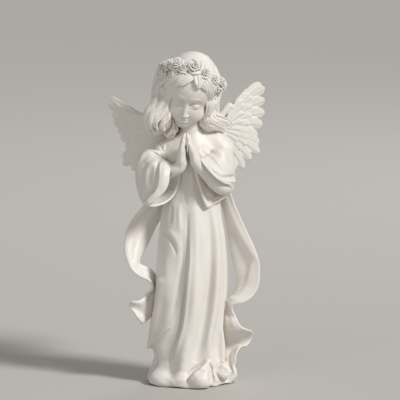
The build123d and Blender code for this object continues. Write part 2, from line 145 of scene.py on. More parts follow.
def smooth(m, times=2, k=0.5, mask=None):
    v, q, t = m
    v = v.copy()
    e = edges_of(q, t)
    n = len(v)
    deg = np.maximum(np.bincount(e.ravel(), minlength=n), 1)
    for it in range(times):
        for step in (k, -k * 1.03):
            acc = np.stack([np.bincount(e[:, 0], v[e[:, 1], c], n) + np.bincount(e[:, 1], v[e[:, 0], c], n) for c in range(3)], -1)
            d = (acc / deg[:, None] - v) * step
            v += d if mask is None else d * mask[:, None]
    return v, q, t


def normals(m):
    v, q, t = m
    N = np.zeros_like(v)
    if len(q):
        fn = np.cross(v[q[:, 2]] - v[q[:, 0]], v[q[:, 3]] - v[q[:, 1]])
        for c in range(4):
            for a in range(3):
                N[:, a] += np.bincount(q[:, c], fn[:, a], len(v))
    if len(t):
        fn = np.cross(v[t[:, 1]] - v[t[:, 0]], v[t[:, 2]] - v[t[:, 0]])
        for c in range(3):
            for a in range(3):
                N[:, a] += np.bincount(t[:, c], fn[:, a], len(v))
    return unit(N)


def to_mesh(name, m):
    v, q, t = m
    me = bpy.data.meshes.new(name)
    nq, nt = len(q), len(t)
    me.vertices.add(len(v))
    me.vertices.foreach_set("co", (v * 0.001).astype(np.float32).ravel())
    me.loops.add(nq * 4 + nt * 3)
    me.loops.foreach_set("vertex_index", np.concatenate([q.ravel(), t.ravel()]).astype(np.int32))
    me.polygons.add(nq + nt)
    start = np.concatenate([np.arange(nq) * 4, nq * 4 + np.arange(nt) * 3]).astype(np.int32)
    me.polygons.foreach_set("loop_start", start)
    me.polygons.foreach_set("use_smooth", np.ones(nq + nt, bool))
    me.update(calc_edges=True)
    me.validate()
    return me


def piece(name, m, nodes, mat):
    o = bpy.data.objects.new(name, to_mesh(name, m))
    bpy.context.scene.collection.objects.link(o)
    o.data.materials.append(mat)
    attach(o, "root")
    if nodes:
        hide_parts(*nodes)
    return o


def fuse(parts, size):
    """One skin round all the closed shells, by Blender's voxel remesh."""
    v, q, t = join(parts) if isinstance(parts, list) else parts
    me = to_mesh("tmp", (v * 1000.0, q, t))  # keep millimetre units while fusing
    o = bpy.data.objects.new("tmp", me)
    bpy.context.scene.collection.objects.link(o)
    mod = o.modifiers.new("r", "REMESH")
    mod.mode = "VOXEL"
    mod.voxel_size = size
    mod.adaptivity = 0.0
    dg = bpy.context.evaluated_depsgraph_get()
    ev = o.evaluated_get(dg).to_mesh()
    n = len(ev.vertices)
    co = np.zeros(n * 3, np.float32)
    ev.vertices.foreach_get("co", co)
    ls = np.zeros(len(ev.polygons), np.int32)
    lt = np.zeros(len(ev.polygons), np.int32)
    ev.polygons.foreach_get("loop_start", ls)
    ev.polygons.foreach_get("loop_total", lt)
    vi = np.zeros(len(ev.loops), np.int32)
    ev.loops.foreach_get("vertex_index", vi)
    qs = ls[lt == 4]
    ts = ls[lt == 3]
    Q = vi[qs[:, None] + np.arange(4)].astype(int) if len(qs) else np.zeros((0, 4), int)
    T = vi[ts[:, None] + np.arange(3)].astype(int) if len(ts) else NO_T
    out = (co.reshape(-1, 3).astype(float), Q, T)
    bpy.data.objects.remove(o)
    bpy.data.meshes.remove(me)
    return outward(out)


# ------------------------------------------------------------------ clay: a grid of distances
class Clay:
    def __init__(self, lo, hi, h):
        self.h, self.lo = h, np.array(lo, float)
        self.n = np.ceil((np.array(hi) - self.lo) / h).astype(int) + 1
        self.ax = [(self.lo[a] + h * np.arange(self.n[a])).astype(np.float32) for a in range(3)]
        self.d = np.full(self.n, 9.0, np.float32)

    def window(self, lo, hi):
        i0 = np.clip(np.floor((np.array(lo) - self.lo) / self.h).astype(int), 0, self.n - 1)
        i1 = np.clip(np.ceil((np.array(hi) - self.lo) / self.h).astype(int) + 1, 1, self.n)
        sl = tuple(slice(a, b) for a, b in zip(i0, i1))
        X = self.ax[0][sl[0]][:, None, None]
        Y = self.ax[1][sl[1]][None, :, None]
        Z = self.ax[2][sl[2]][None, None, :]
        return sl, X, Y, Z

    def blend(self, sl, v, k, cut):
        a = self.d[sl]
        if cut:
            v = -v
            if k <= 0:
                self.d[sl] = np.maximum(a, v)
                return
            h = np.maximum(k - np.abs(a - v), 0) / k
            self.d[sl] = np.maximum(a, v) + h * h * k * 0.25
        else:
            if k <= 0:
                self.d[sl] = np.minimum(a, v)
                return
            h = np.maximum(k - np.abs(a - v), 0) / k
            self.d[sl] = np.minimum(a, v) - h * h * k * 0.25

    def ball(self, c, r, k=1.0, R=None, cut=False):
        c = np.array(c, float)
        r = np.array([r] * 3 if np.isscalar(r) else r, float)
        e = r.max() + k + 2.0
        sl, X, Y, Z = self.window(c - e, c + e)
        x, y, z = X - c[0], Y - c[1], Z - c[2]
        if R is not None:
            x, y, z = (R[0, 0] * x + R[1, 0] * y + R[2, 0] * z, R[0, 1] * x + R[1, 1] * y + R[2, 1] * z,
                       R[0, 2] * x + R[1, 2] * y + R[2, 2] * z)
        k0 = np.sqrt((x / r[0]) ** 2 + (y / r[1]) ** 2 + (z / r[2]) ** 2)
        k1 = np.sqrt((x / r[0] ** 2) ** 2 + (y / r[1] ** 2) ** 2 + (z / r[2] ** 2) ** 2)
        self.blend(sl, (k0 * (k0 - 1) / np.maximum(k1, 1e-6)).astype(np.float32), k, cut)

    def rope(self, P, r, k=1.0, cut=False):
        """A chain of round cones through P."""
        P = np.asarray(P, float)
        r = np.full(len(P), r, float) if np.isscalar(r) else np.asarray(r, float)
        e = r.max() + k + 1.5
        sl, X, Y, Z = self.window(P.min(0) - e, P.max(0) + e)
        best = None
        for a, b, ra, rb in zip(P[:-1], P[1:], r[:-1], r[1:]):
            d = b - a
            L = max(float(d @ d), 1e-9)
            t = np.clip(((X - a[0]) * d[0] + (Y - a[1]) * d[1] + (Z - a[2]) * d[2]) / L, 0, 1)
            g = np.sqrt((X - a[0] - t * d[0]) ** 2 + (Y - a[1] - t * d[1]) ** 2 + (Z - a[2] - t * d[2]) ** 2) - (ra + (rb - ra) * t)
            best = g if best is None else np.minimum(best, g)
        self.blend(sl, best.astype(np.float32), k, cut)

    def front(self, x, z):
        """Depth of the first surface met from the front at (x, z)."""
        i = int(round((x - self.lo[0]) / self.h))
        k = int(round((z - self.lo[2]) / self.h))
        col = self.d[i, :, k]
        hit = np.nonzero(col < 0)[0]
        if not len(hit):
            return 0.0
        j = hit[0]
        t = col[j - 1] / (col[j - 1] - col[j]) if j else 0
        return float(self.ax[1][j - 1] + t * self.h)

    def mesh(self):
        d = self.d
        s = d < 0
        c = np.zeros(np.array(d.shape) - 1, np.int8)
        for a in (0, 1):
            for b in (0, 1):
                for e in (0, 1):
                    c += s[a:d.shape[0] - 1 + a, b:d.shape[1] - 1 + b, e:d.shape[2] - 1 + e]
        act = (c > 0) & (c < 8)
        I = np.argwhere(act)
        ids = np.full(c.shape, -1, np.int64)
        ids[act] = np.arange(len(I))
        corner = {}
        for a in (0, 1):
            for b in (0, 1):
                for e in (0, 1):
                    corner[a, b, e] = d[I[:, 0] + a, I[:, 1] + b, I[:, 2] + e]
        pos = np.zeros((len(I), 3))
        cnt = np.zeros(len(I))
        keys = list(corner)
        for p in keys:
            for a in range(3):
                if p[a]:
                    continue
                qk = tuple(1 if i == a else p[i] for i in range(3))
                d0, d1 = corner[p], corner[qk]
                x = (d0 < 0) != (d1 < 0)
                t = np.where(x, d0 / np.where(x, d0 - d1, 1), 0)
                off = np.tile(np.array(p, float), (len(I), 1))
                off[:, a] += t
                pos += off * x[:, None]
                cnt += x
        V = (I + pos / np.maximum(cnt, 1)[:, None]) * self.h + self.lo
        Q = []
        for a in range(3):
            b, e = (a + 1) % 3, (a + 2) % 3
            s0 = [slice(None)] * 3
            s1 = [slice(None)] * 3
            s0[a], s1[a] = slice(0, -1), slice(1, None)
            A, B = s[tuple(s0)], s[tuple(s1)]
            x = np.argwhere(A != B)
            ok = (x[:, b] > 0) & (x[:, e] > 0) & (x[:, b] < c.shape[b]) & (x[:, e] < c.shape[e])
            x = x[ok]
            inside = A[tuple(x.T)]
            def at(db, de):
                y = x.copy()
                y[:, b] -= db
                y[:, e] -= de
                return ids[tuple(y.T)]
            f = np.stack([at(1, 1), at(0, 1), at(0, 0), at(1, 0)], -1)
            f[~inside] = f[~inside][:, ::-1]
            Q.append(f)
        Q = np.concatenate(Q)
        Q = Q[(Q >= 0).all(1)]
        return outward((V, Q, NO_T))


# ------------------------------------------------------------------ carving strokes, drawn in the front view
def view_uv(v):
    return np.stack([v[:, 0], v[:, 2] * CE + (v[:, 1] + 24) * SE], -1)


def strokes(m, marks, face=TO_EYE, soft=0.35):
    """marks: (points in u, v; width or widths; height or heights). Positive heights raise a rounded ridge, negative ones cut a groove."""
    v, q, t = m
    N = normals(m)
    w = np.clip((N @ face + 0.02) / soft, 0, 1)
    uv = view_uv(v)
    rise = np.zeros(len(v))
    for P, width, height in marks:
        P = np.asarray(P, float)
        n = max(len(P) * 5, 8)
        C = spline(P, n) if len(P) > 2 else np.linspace(P[0], P[1], n)
        W = np.interp(np.linspace(0, 1, n), np.linspace(0, 1, len(np.atleast_1d(width))), np.atleast_1d(width))
        H = np.interp(np.linspace(0, 1, n), np.linspace(0, 1, len(np.atleast_1d(height))), np.atleast_1d(height))
        fade = np.clip(np.minimum(np.arange(n), np.arange(n)[::-1]) / (n * 0.18), 0, 1) ** 0.7
        e = W.max() * 2.6
        near = np.nonzero((uv[:, 0] > C[:, 0].min() - e) & (uv[:, 0] < C[:, 0].max() + e) & (uv[:, 1] > C[:, 1].min() - e) &
                          (uv[:, 1] < C[:, 1].max() + e) & (w > 0))[0]
        if not len(near):
            continue
        best = np.full(len(near), 1e9)
        val = np.zeros(len(near))
        p = uv[near]
        for i in range(n - 1):
            a, b = C[i], C[i + 1]
            ab = b - a
            s = np.clip(((p - a) @ ab) / max(ab @ ab, 1e-9), 0, 1)
            dd = np.linalg.norm(p - a - s[:, None] * ab, axis=1)
            g = np.exp(-(dd / (W[i] + (W[i + 1] - W[i]) * s)) ** 2) * (H[i] * fade[i] + (H[i + 1] * fade[i + 1] - H[i] * fade[i]) * s)
            take = dd < best
            best = np.where(take, dd, best)
            val = np.where(take, g, val)
        rise[near] += val
    return v + N * (rise * w)[:, None], q, t


# ------------------------------------------------------------------ resin
def resin(name, tone=(0.745, 0.722, 0.690), grain=1.0, rough=0.46):
    """Unpainted cast resin: satin, faintly translucent, with painted shade darkening and warming the hollows, and
    rubbed pale on the edges.
    """
    m = bpy.data.materials.new(name)
    m.use_nodes = True
    nt = m.node_tree
    nt.nodes.clear()
    new, link = nt.nodes.new, nt.links.new
    out = new("ShaderNodeOutputMaterial")
    bs = new("ShaderNodeBsdfPrincipled")
    link(bs.outputs[0], out.inputs[0])
    co = new("ShaderNodeTexCoord")

    def noise(scale, detail=3.0, dist=0.0):
        n = new("ShaderNodeTexNoise")
        n.inputs["Scale"].default_value = scale
        n.inputs["Detail"].default_value = detail
        n.inputs["Distortion"].default_value = dist
        link(co.outputs["Object"], n.inputs["Vector"])
        return n.outputs["Fac"]

    def ramp(src, stops):
        r = new("ShaderNodeValToRGB")
        link(src, r.inputs[0])
        el = r.color_ramp.elements
        el[0].position, el[0].color = stops[0]
        el[1].position, el[1].color = stops[-1]
        for p, c in stops[1:-1]:
            x = el.new(p)
            x.color = c
        return r.outputs[0]

    def mix(kind, fac, a, b):
        x = new("ShaderNodeMix")
        x.data_type = "RGBA"
        x.blend_type = kind
        if isinstance(fac, float):
            x.inputs[0].default_value = fac
        else:
            link(fac, x.inputs[0])
        for s, i in ((a, 6), (b, 7)):
            if isinstance(s, tuple):
                x.inputs[i].default_value = s
            else:
                link(s, x.inputs[i])
        return x.outputs[2]

    base = (*tone, 1.0)
    # painted shade: a darker, warmer tone for hollows, creases and gaps between parts
    painted_shade_tone = (tone[0] * 0.93, tone[1] * 0.90, tone[2] * 0.85, 1.0)
    mott = ramp(noise(38.0, 4.0, 0.4), [(0.36, (0, 0, 0, 1)), (0.68, (1, 1, 1, 1))])
    c = mix("MIX", mott, base, (tone[0] * 0.972, tone[1] * 0.965, tone[2] * 0.955, 1.0))
    # painted shade: the ambient-occlusion mask blends the darker, warmer tone in wherever the surface is occluded
    ao = new("ShaderNodeAmbientOcclusion")
    ao.samples = 6
    ao.inputs["Distance"].default_value = 0.0045
    painted_shade_mask = ramp(ao.outputs["AO"], [(0.25, (1, 1, 1, 1)), (0.85, (0, 0, 0, 1))])
    c = mix("MIX", painted_shade_mask, c, painted_shade_tone)
    geo = new("ShaderNodeNewGeometry")
    edge = ramp(geo.outputs["Pointiness"], [(0.515, (0, 0, 0, 1)), (0.58, (1, 1, 1, 1))])
    c = mix("MIX", edge, c, (min(tone[0] * 1.06, 0.9), min(tone[1] * 1.065, 0.9), min(tone[2] * 1.08, 0.9), 1.0))
    speck = ramp(noise(1500.0, 1.0), [(0.70, (0, 0, 0, 1)), (0.76, (1, 1, 1, 1))])
    c = mix("MIX", speck, c, (tone[0] * 0.93, tone[1] * 0.91, tone[2] * 0.88, 1.0))
    link(c, bs.inputs["Base Color"])
    rr = new("ShaderNodeMapRange")
    link(noise(160.0, 4.0), rr.inputs[0])
    rr.inputs[1].default_value, rr.inputs[2].default_value = 0.3, 0.7
    rr.inputs[3].default_value, rr.inputs[4].default_value = rough - 0.06, rough + 0.08
    link(rr.outputs[0], bs.inputs["Roughness"])
    bs.inputs["IOR"].default_value = 1.5
    bs.inputs["Specular IOR Level"].default_value = 0.42
    bs.inputs["Subsurface Weight"].default_value = 0.12
    bs.inputs["Subsurface Radius"].default_value = (0.0022, 0.0016, 0.0011)
    bs.inputs["Subsurface Scale"].default_value = 1.0
    b1 = new("ShaderNodeBump")
    b1.inputs["Strength"].default_value = 0.22 * grain
    b1.inputs["Distance"].default_value = 0.00035
    link(noise(420.0, 4.0), b1.inputs["Height"])
    b2 = new("ShaderNodeBump")
    b2.inputs["Strength"].default_value = 0.10 * grain
    b2.inputs["Distance"].default_value = 0.00012
    link(noise(2600.0, 2.0), b2.inputs["Height"])
    link(b1.outputs[0], b2.inputs["Normal"])
    link(b2.outputs[0], bs.inputs["Normal"])
    return m


M_GOWN = resin("resin_gown")
M_SLEEVE = resin("resin_sleeves")
M_SASH = resin("resin_sash", rough=0.44)
M_SKIN = resin("resin_skin", grain=0.5, rough=0.42)
M_HEAD = resin("resin_head", grain=0.5, rough=0.42)
M_HAIR = resin("resin_hair", grain=0.8, rough=0.48)
M_WREATH = resin("resin_wreath", grain=0.7, rough=0.48)
M_WING = resin("resin_wings", grain=0.9, rough=0.47)


# ------------------------------------------------------------------ gown and torso
ROWS = [  # height, centre x, centre y, half width, half depth, fold depth
    (-4.0, -0.2, 0.0, 24.0, 19.6, 2.6), (0.6, -0.2, 0.0, 24.2, 19.8, 2.8), (4.0, -0.2, 0.0, 24.4, 20.0, 3.0),
    (10.0, -0.9, -0.2, 22.0, 18.8, 3.2), (15.0, -1.3, -0.3, 20.6, 17.8, 3.0), (22.0, -2.6, -0.4, 21.4, 17.2, 3.0), (32.0, -2.9, -0.5, 21.2, 17.0, 2.9),
    (44.0, -1.8, -0.6, 20.7, 16.8, 2.7), (60.0, -0.9, -0.8, 20.6, 16.4, 2.4), (76.0, -0.6, -0.8, 20.3, 15.7, 1.9),
    (90.0, -0.5, -0.6, 19.1, 14.7, 1.3), (102.0, -0.8, -0.2, 17.6, 13.3, 0.9), (114.0, -0.9, 0.4, 16.6, 12.4, 0.5),
    (126.0, -0.9, 0.8, 16.2, 11.6, 0.2), (136.0, -0.9, 1.0, 15.2, 10.4, 0.0), (143.0, -0.9, 1.0, 11.0, 8.6, 0.0),
    (152.0, -1.0, 0.6, 3.0, 3.0, 0.0)]
CRESTS = [  # (height, degrees) track, width in degrees, share
    (((0, -112), (7, -109), (15, -103), (22, -96), (35, -91), (50, -85), (102, -83)), 14, 0.85),
    (((0, -55), (10, -53), (22, -51), (37, -46), (51, -40), (80, -36), (102, -37)), 10, 0.85),
    (((0, -22), (20, -20), (50, -18), (102, -12)), 6.5, 0.7),
    (((0, -158), (20, -154), (50, -146), (70, -141), (102, -140)), 17, 0.45),
    (((0, -180), (30, -178), (102, -172)), 8, 0.85), (((0, 0), (40, 3), (102, 9)), 6.5, 0.85),
    (((0, 14), (30, 20), (102, 26)), 7, 0.9), (((0, 40), (40, 44), (102, 46)), 8, 1.0),
    (((0, 65), (60, 62), (102, 66)), 6.5, 0.8), (((0, 90), (50, 93), (102, 86)), 8, 1.0),
    (((0, 115), (60, 110), (102, 108)), 7, 0.85), (((0, 138), (50, 141), (102, 130)), 7.5, 1.0),
    (((0, 160), (50, 158), (102, 156)), 6.5, 0.85)]


def gown():
    h = 0.5
    c = Clay((-31, -29, -2.0), (30, 27, 154), h)
    X, Y, Z = c.ax[0][:, None], c.ax[1][None, :], c.ax[2]
    rows = np.array(ROWS)
    for k, z in enumerate(Z):
        cx, cy, w, d, f = [np.interp(z, rows[:, 0], rows[:, i]) for i in range(1, 6)]
        x, y = X - cx, Y - cy
        r = np.sqrt(x * x + y * y)
        a = np.arctan2(y, x)
        n = 2.25
        R = ((np.abs(np.cos(a)) / w) ** n + (np.abs(np.sin(a)) / d) ** n) ** (-1 / n)
        deg = np.degrees(a)
        bump = np.zeros_like(r)
        for track, wd, share in CRESTS:
            tz, ta = zip(*track)
            dd = (deg - np.interp(z, tz, ta) + 180) % 360 - 180
            bump = np.maximum(bump, share * np.exp(-np.abs(dd / wd) ** 1.7))
        sway = 0.25 * np.sin(a * 7 + z * 0.11) * min(f, 1.0)
        c.d[:, :, k] = (r - R - f * (bump - 0.5) - sway) * 0.93
    # torso: chest, shoulders, neck root
    c.ball((-1.0, -1.6, 135.0), (15.0, 12.2, 15.0), k=5)
    c.rope([(-17.0, 0.6, 138.2), (-9.0, 1.6, 142.2), (-1.0, 2.0, 145.2), (7.5, 1.6, 146.2), (13.0, 1.2, 144.2), (17.4, 0.6, 139.4)], [7.2, 7.6, 7.6, 7.6, 7.6, 7.2], k=4)
    c.rope([(-1.3, -0.5, 146.0), (-1.5, -2.4, 154.0)], [8.0, 5.6], k=4)
    c.ball((-7.0, -8.6, 134.0), (7.0, 5.0, 6.5), k=4)
    c.ball((6.0, -8.4, 134.6), (7.0, 5.0, 6.5), k=4)
    # hem: one broad flare at the left, a turned-up toe lobe in front, two leaf-shaped ones at the right
    def lobe(px, r, k):
        c.ball(px, r, k=k)

    for p, r, kk in [([(-21.27, -8.5, 2.78)][0], (4.8, 6.6, 4.6), 6.0), ([(-15.44, -14.5, 2.4)][0], (6.0, 5.6, 3.2), 5.0), ([(-6.53, -18.5, 3.4)][0], (6.6, 4.8, 3.4), 4.5), ([(-1.78, -20.0, 1.77)][0], (5.6, 4.6, 2.8), 4.0)]:
        lobe(p, r, kk)
    lobe([(4.87, -22.6, 4.29)][0], (6.2, 5.4, 5.0), 2.4)
    c.rope([(4.51, -22.8, 6.43), (6.06, -21.8, 9.33), (7.48, -20.0, 12.06), (8.79, -17.4, 15.13)], [5.2, 4.0, 2.5, 0.8], k=2.2)
    c.rope([(1.78, -22.0, 4.49), (3.86, -21.4, 8.31), (6.53, -19.4, 12.2)], [4.2, 2.8, 1.2], k=2.0)
    lobe([(18.41, -13.0, 8.18)][0], (3.9, 3.6, 3.9), 2.2)
    c.rope([(19.19, -13.4, 3.67), (18.65, -13.6, 7.07), (19.36, -12.6, 10.52), (20.43, -11.0, 13.88)], [0.7, 2.6, 2.2, 0.7], k=2.0)
    lobe([(23.88, -4.6, 5.65)][0], (2.4, 4.4, 5.2), 3.0)
    for a, r in [(20, 3.0), (46, 3.6), (70, 3.0), (94, 3.6), (120, 3.2), (145, 3.4), (172, 3.2)]:
        q = math.radians(a)
        c.rope([(-0.2 + 20.2 * math.cos(q), 16.4 * math.sin(q), 13.0), (-0.2 + 21.6 * math.cos(q), 17.8 * math.sin(q), 7.0),
                (-0.2 + 22.6 * math.cos(q), 18.8 * math.sin(q), 3.4)], [1.6, r * 0.8, r * 0.8], k=4.5)
    # the cloth pulled out to a pointed fold at the left, and the broad fold that runs down to it
    c.rope([(-18.5, -9.0, 62.0), (-20.2, -8.0, 48.0), (-22.2, -5.6, 35.0), (-23.8, -4.2, 27.5), (-26.9, -3.4, 21.0)], [2.2, 2.9, 2.9, 2.1, 0.6], k=3.5)
    c.rope([(-22.8, 2.0, 40.0), (-23.6, 0.6, 29.0), (-25.4, -1.6, 22.4)], [2.0, 2.0, 0.8], k=3.5)
    c.rope([(-29.6, -1.0, 13.6), (-26.8, -7.5, 14.2)], [3.0, 1.8], k=3.0, cut=True)
    for a, r in [(20, 3.2), (44, 3.8), (66, 3.2), (90, 3.9), (116, 3.3), (139, 3.8), (162, 3.4), (184, 3.4)]:
        q = math.radians(a)
        c.rope([(-0.2 + 20.6 * math.cos(q), 16.6 * math.sin(q), 13.0), (-0.2 + 22.2 * math.cos(q), 18.2 * math.sin(q), 6.0),
                (-0.2 + 23.8 * math.cos(q), 19.6 * math.sin(q), 2.6)], [1.6, r * 0.8, r * 0.85], k=3.0)
    # thin undercut that lifts the hem's edge off the table, and the felt's recess
    sl, X3, Y3, Z3 = c.window((-40, -40, -3), (40, 40, 4.0))
    lift = 0.55 + 0.30 * np.sin(np.arctan2(Y3, X3 + 0.2) * 9.0 + 0.6) + 0 * Z3
    c.d[sl] = np.maximum(c.d[sl], (lift - Z3).astype(np.float32))
    sl, X3, Y3, Z3 = c.window((-24, -20, -3), (24, 20, 3.0))
    rec = np.maximum((np.sqrt((X3 / 19.8) ** 2 + (Y3 / 15.3) ** 2) - 1) * 15.3, Z3 - 1.4)
    c.d[sl] = np.maximum(c.d[sl], (-rec).astype(np.float32))
    m = smooth(c.mesh(), 3)
    marks = [
        # central pleat, its shadowed right side, and the gathers beside it
        ([(1.78, 109.0), (2.08, 88.21), (2.08, 67.42), (1.19, 49.6), (-0.59, 34.75), (-4.16, 22.87), (-8.91, 10.99)], [3.4, 3.9, 4.6, 5.4], [0.8, 1.1, 1.2, 0.9]),
        ([(-3.33, 106.03), (-3.21, 88.21), (-3.33, 77.52), (-4.4, 62.67), (-5.7, 47.82), (-7.13, 37.72), (-9.5, 30.0), (-11.76, 23.46), (-13.66, 16.34), (-14.85, 10.99)], [0.9, 1.0, 1.0, 1.1], [-0.7, -1.3, -1.3, -0.6]),
        ([(-1.54, 106.03), (-1.43, 88.21), (-1.48, 77.52), (-2.49, 62.67), (-3.68, 47.82), (-4.99, 37.72), (-7.25, 30.0), (-9.39, 23.46), (-11.4, 16.34)], [1.2, 1.3, 1.4, 1.4], [0.5, 1.0, 1.1, 0.4]),
        ([(8.91, 107.22), (10.45, 95.34), (10.69, 77.52), (9.86, 62.67), (7.96, 47.82), (6.18, 37.72), (4.4, 28.81), (2.73, 21.68), (0.95, 15.15)], [1.3, 2.1, 2.7, 2.8], [-0.6, -1.5, -1.7, -1.0]),
        ([(3.33, 98.9), (3.56, 82.27), (3.21, 63.26)], [1.2, 1.3], [-0.2, -0.35, -0.1]),
        
        ([(13.42, 106.03), (14.85, 88.21), (14.85, 76.33), (14.02, 62.67), (12.47, 47.82), (10.93, 37.72), (9.27, 28.81), (8.32, 21.68)], [1.5, 1.9, 2.0, 1.8], [0.5, 1.0, 1.1, 0.5]),
        
        ([(18.06, 97.71), (18.53, 79.3), (18.77, 61.48), (18.41, 41.88)], [1.2, 1.3], [0.4, 0.6]),
        ([(16.04, 34.75), (15.44, 27.62), (14.55, 21.68), (13.66, 15.74)], [1.8, 2.0], [-0.3, -0.6, -0.3]),
        ([(18.41, 35.94), (18.12, 27.62), (17.52, 19.3), (17.82, 12.18)], [1.4, 1.4], [0.8, 1.2]),
        ([(20.79, 31.78), (20.2, 22.87), (19.6, 15.74)], [0.9, 1.0], [-0.6, -1.0]),
        # hollow beside the pleat and the bent knee behind it
        ([(-5.35, 94.15), (-5.94, 78.7), (-7.72, 62.67), (-10.34, 50.79), (-14.26, 39.5)], [1.3, 1.7, 1.7], [-0.5, -0.9, -0.3]),
        ([(-17.82, 77.52), (-17.23, 63.26), (-17.23, 49.0)], [5.0, 6.0, 5.0], [0.4, 0.8, 0.3]),
        ([(-19.6, 94.15), (-16.04, 91.42), (-13.07, 87.85), (-10.93, 83.46), (-9.86, 78.11)], [0.7, 0.85, 0.7], [-0.5, -1.1, -0.4]),
        ([(-17.23, 95.34), (-13.07, 92.37), (-9.5, 87.61), (-7.72, 81.67)], [1.4, 1.6, 1.4], [0.25, 0.45, 0.25]),
        
        ([(-13.66, 37.12), (-17.82, 33.56), (-22.57, 28.81), (-26.14, 24.65)], [0.6, 0.6], [0.5, 0.6, 0.4]),
        ([(-13.66, 35.7), (-17.82, 32.02), (-21.98, 27.62)], [0.6, 0.6], [-0.35, -0.45, -0.3]),
        
        ([(-11.88, 13.37), (-13.07, 9.21), (-13.66, 5.64)], [2.2, 2.8], [-0.3, -0.9, -0.6]), ([(-16.04, 148.2), (-12.47, 149.03), (-8.91, 148.2)], [0.8, 0.9], [0.3, 0.5, 0.3]),
        ([(-9.5, 52.57), (-10.69, 39.5), (-13.07, 27.62), (-16.04, 18.12), (-18.41, 12.18)], [2.4, 3.0, 2.8], [-0.3, -0.5, -0.2]),
        # the hem's turn-ups: lit rims, scooped faces and dark lines round them
        ([(8.32, 14.85), (5.35, 12.41), (2.14, 9.92), (-0.71, 7.19), (-0.95, 4.46)], [0.8, 0.9], [0.4, 0.7, 0.4]), ([(6.89, 12.18), (4.51, 9.21), (2.73, 6.47)], [2.6, 3.2], [-0.2, -0.4, -0.2]),
        ([(6.89, 15.74), (3.33, 13.01), (-0.24, 10.39), (-2.61, 7.42), (-2.14, 3.27)], [0.9, 1.1], [-0.4, -0.9, -0.5]), ([(9.86, 15.38), (11.52, 10.99), (12.0, 6.83), (11.64, 2.67)], [1.1, 1.8], [-0.8, -1.8, -1.2]),
        ([(-10.69, 5.17), (-6.53, 6.0), (-1.78, 7.66)], [0.9, 1.0], [0.3, 0.5, 0.3]), ([(-11.29, 2.67), (-6.53, 2.91), (-2.38, 3.62)], [1.6, 1.8], [-0.3, -0.5, -0.2]),
        ([(17.23, 15.74), (13.42, 10.63), (15.44, 7.07), (18.65, 3.86)], [0.8, 1.0], [-0.5, -0.9, -0.7]), ([(21.62, 15.15), (23.17, 10.39), (21.74, 6.83), (19.96, 3.86)], [0.7, 0.9], [-0.5, -0.9, -0.7]), ([(19.96, 14.79), (14.73, 10.75), (19.01, 5.88), (22.1, 10.16), (20.43, 14.67)], [0.6, 0.6], [0.3, 0.5, 0.3]),
        ([(19.25, 12.18), (18.77, 8.26)], [1.8, 1.9], [-0.5, -0.7]), ([(23.17, 13.37), (25.3, 9.21), (25.54, 5.64)], [0.8, 0.9], [0.5, 0.6, 0.4]),
        ([(12.83, 11.58), (13.54, 7.42), (12.83, 3.27)], [1.4, 1.4], [0.3, 0.4, 0.2]),
        # chest: pulls from the armpits and the round of the shoulder
        ([(-19.9, 145.83), (-18.77, 143.45), (-17.23, 140.84)], [0.55, 0.6], [-0.5, -0.8]), ([(-14.85, 145.23), (-16.04, 142.86), (-16.99, 140.48)], [0.55, 0.6], [-0.4, -0.7]),
        ([(4.16, 141.67), (7.13, 139.29), (9.5, 135.73)], [1.0, 1.2], [-0.3, -0.5]),
        ([(-12.47, 109.0), (-13.07, 103.06), (-13.66, 96.52)], [1.0, 1.2], [-0.4, -0.7, -0.4]), ([(-7.72, 110.19), (-8.02, 102.46), (-7.72, 92.96)], [1.1, 1.3], [0.4, 0.6, 0.4]),
        ([(-0.59, 129.79), (-0.3, 122.66), (0.0, 114.34)], [1.0, 1.2], [0.3, 0.4]), ([(-5.35, 120.28), (-4.75, 114.34), (-4.16, 108.41)], [0.9, 1.0], [-0.3, -0.5]),
    ]
    marks = [(p, w, [x * 1.25 for x in a]) for p, w, a in marks]
    m = strokes(m, marks)
    m = smooth(m, 1)
    v = m[0]
    v[:, 2] = np.maximum(v[:, 2], 0.15)
    return m


piece("gown_cast", gown(), ["gown_body"], M_GOWN)


# ------------------------------------------------------------------ bell sleeves
def ring(c, n, front, r, k=13):
    """Ellipse-like ring: index 0 towards the front, a quarter on towards 'out'."""
    n = unit(np.array(n, float))
    f = np.array(front, float)
    f = unit(f - n * (f @ n))
    s = np.cross(n, f)
    a = np.arange(k) / k * 2 * np.pi
    return np.array(c) + (f[None] * np.cos(a)[:, None] * r[0] + s[None] * np.sin(a)[:, None] * r[1])


def sleeve(loops, marks, wall=1.5, nu=120, nv=74, start_in=0.42):
    """Outer cloth through the loops, a rolled lip, and the inner face going back up inside."""
    L = np.stack([spline(np.array(l, float), nu, closed=True) for l in loops])
    out = spline(L, nv)
    # inner face: each ring pulled in towards its own middle line and away from the cloth
    du = np.roll(out, -1, 1) - np.roll(out, 1, 1)
    dv = np.gradient(out, axis=0)
    N = unit(np.cross(du, dv))
    mid = out.mean(1, keepdims=True)
    if ((out - mid) * N).sum() < 0:
        N = -N
    first = int(nv * start_in)
    inner = out[first:] - N[first:] * wall
    shrink = np.linspace(0.35, 1.0, nv - first) ** 0.5
    im = inner.mean(1, keepdims=True)
    inner = im + (inner - im) * np.minimum(shrink, 1.0)[:, None, None]
    lipN = unit(dv[-1])
    lip = [out[-1] + lipN * 0.35 - N[-1] * 0.15, out[-1] + lipN * 0.62 - N[-1] * wall * 0.5, out[-1] + lipN * 0.35 - N[-1] * (wall - 0.15)]
    rings = np.concatenate([out, np.array(lip), inner[::-1]])
    m = skin(rings)
    m = strokes(m, marks, soft=0.25)
    return m


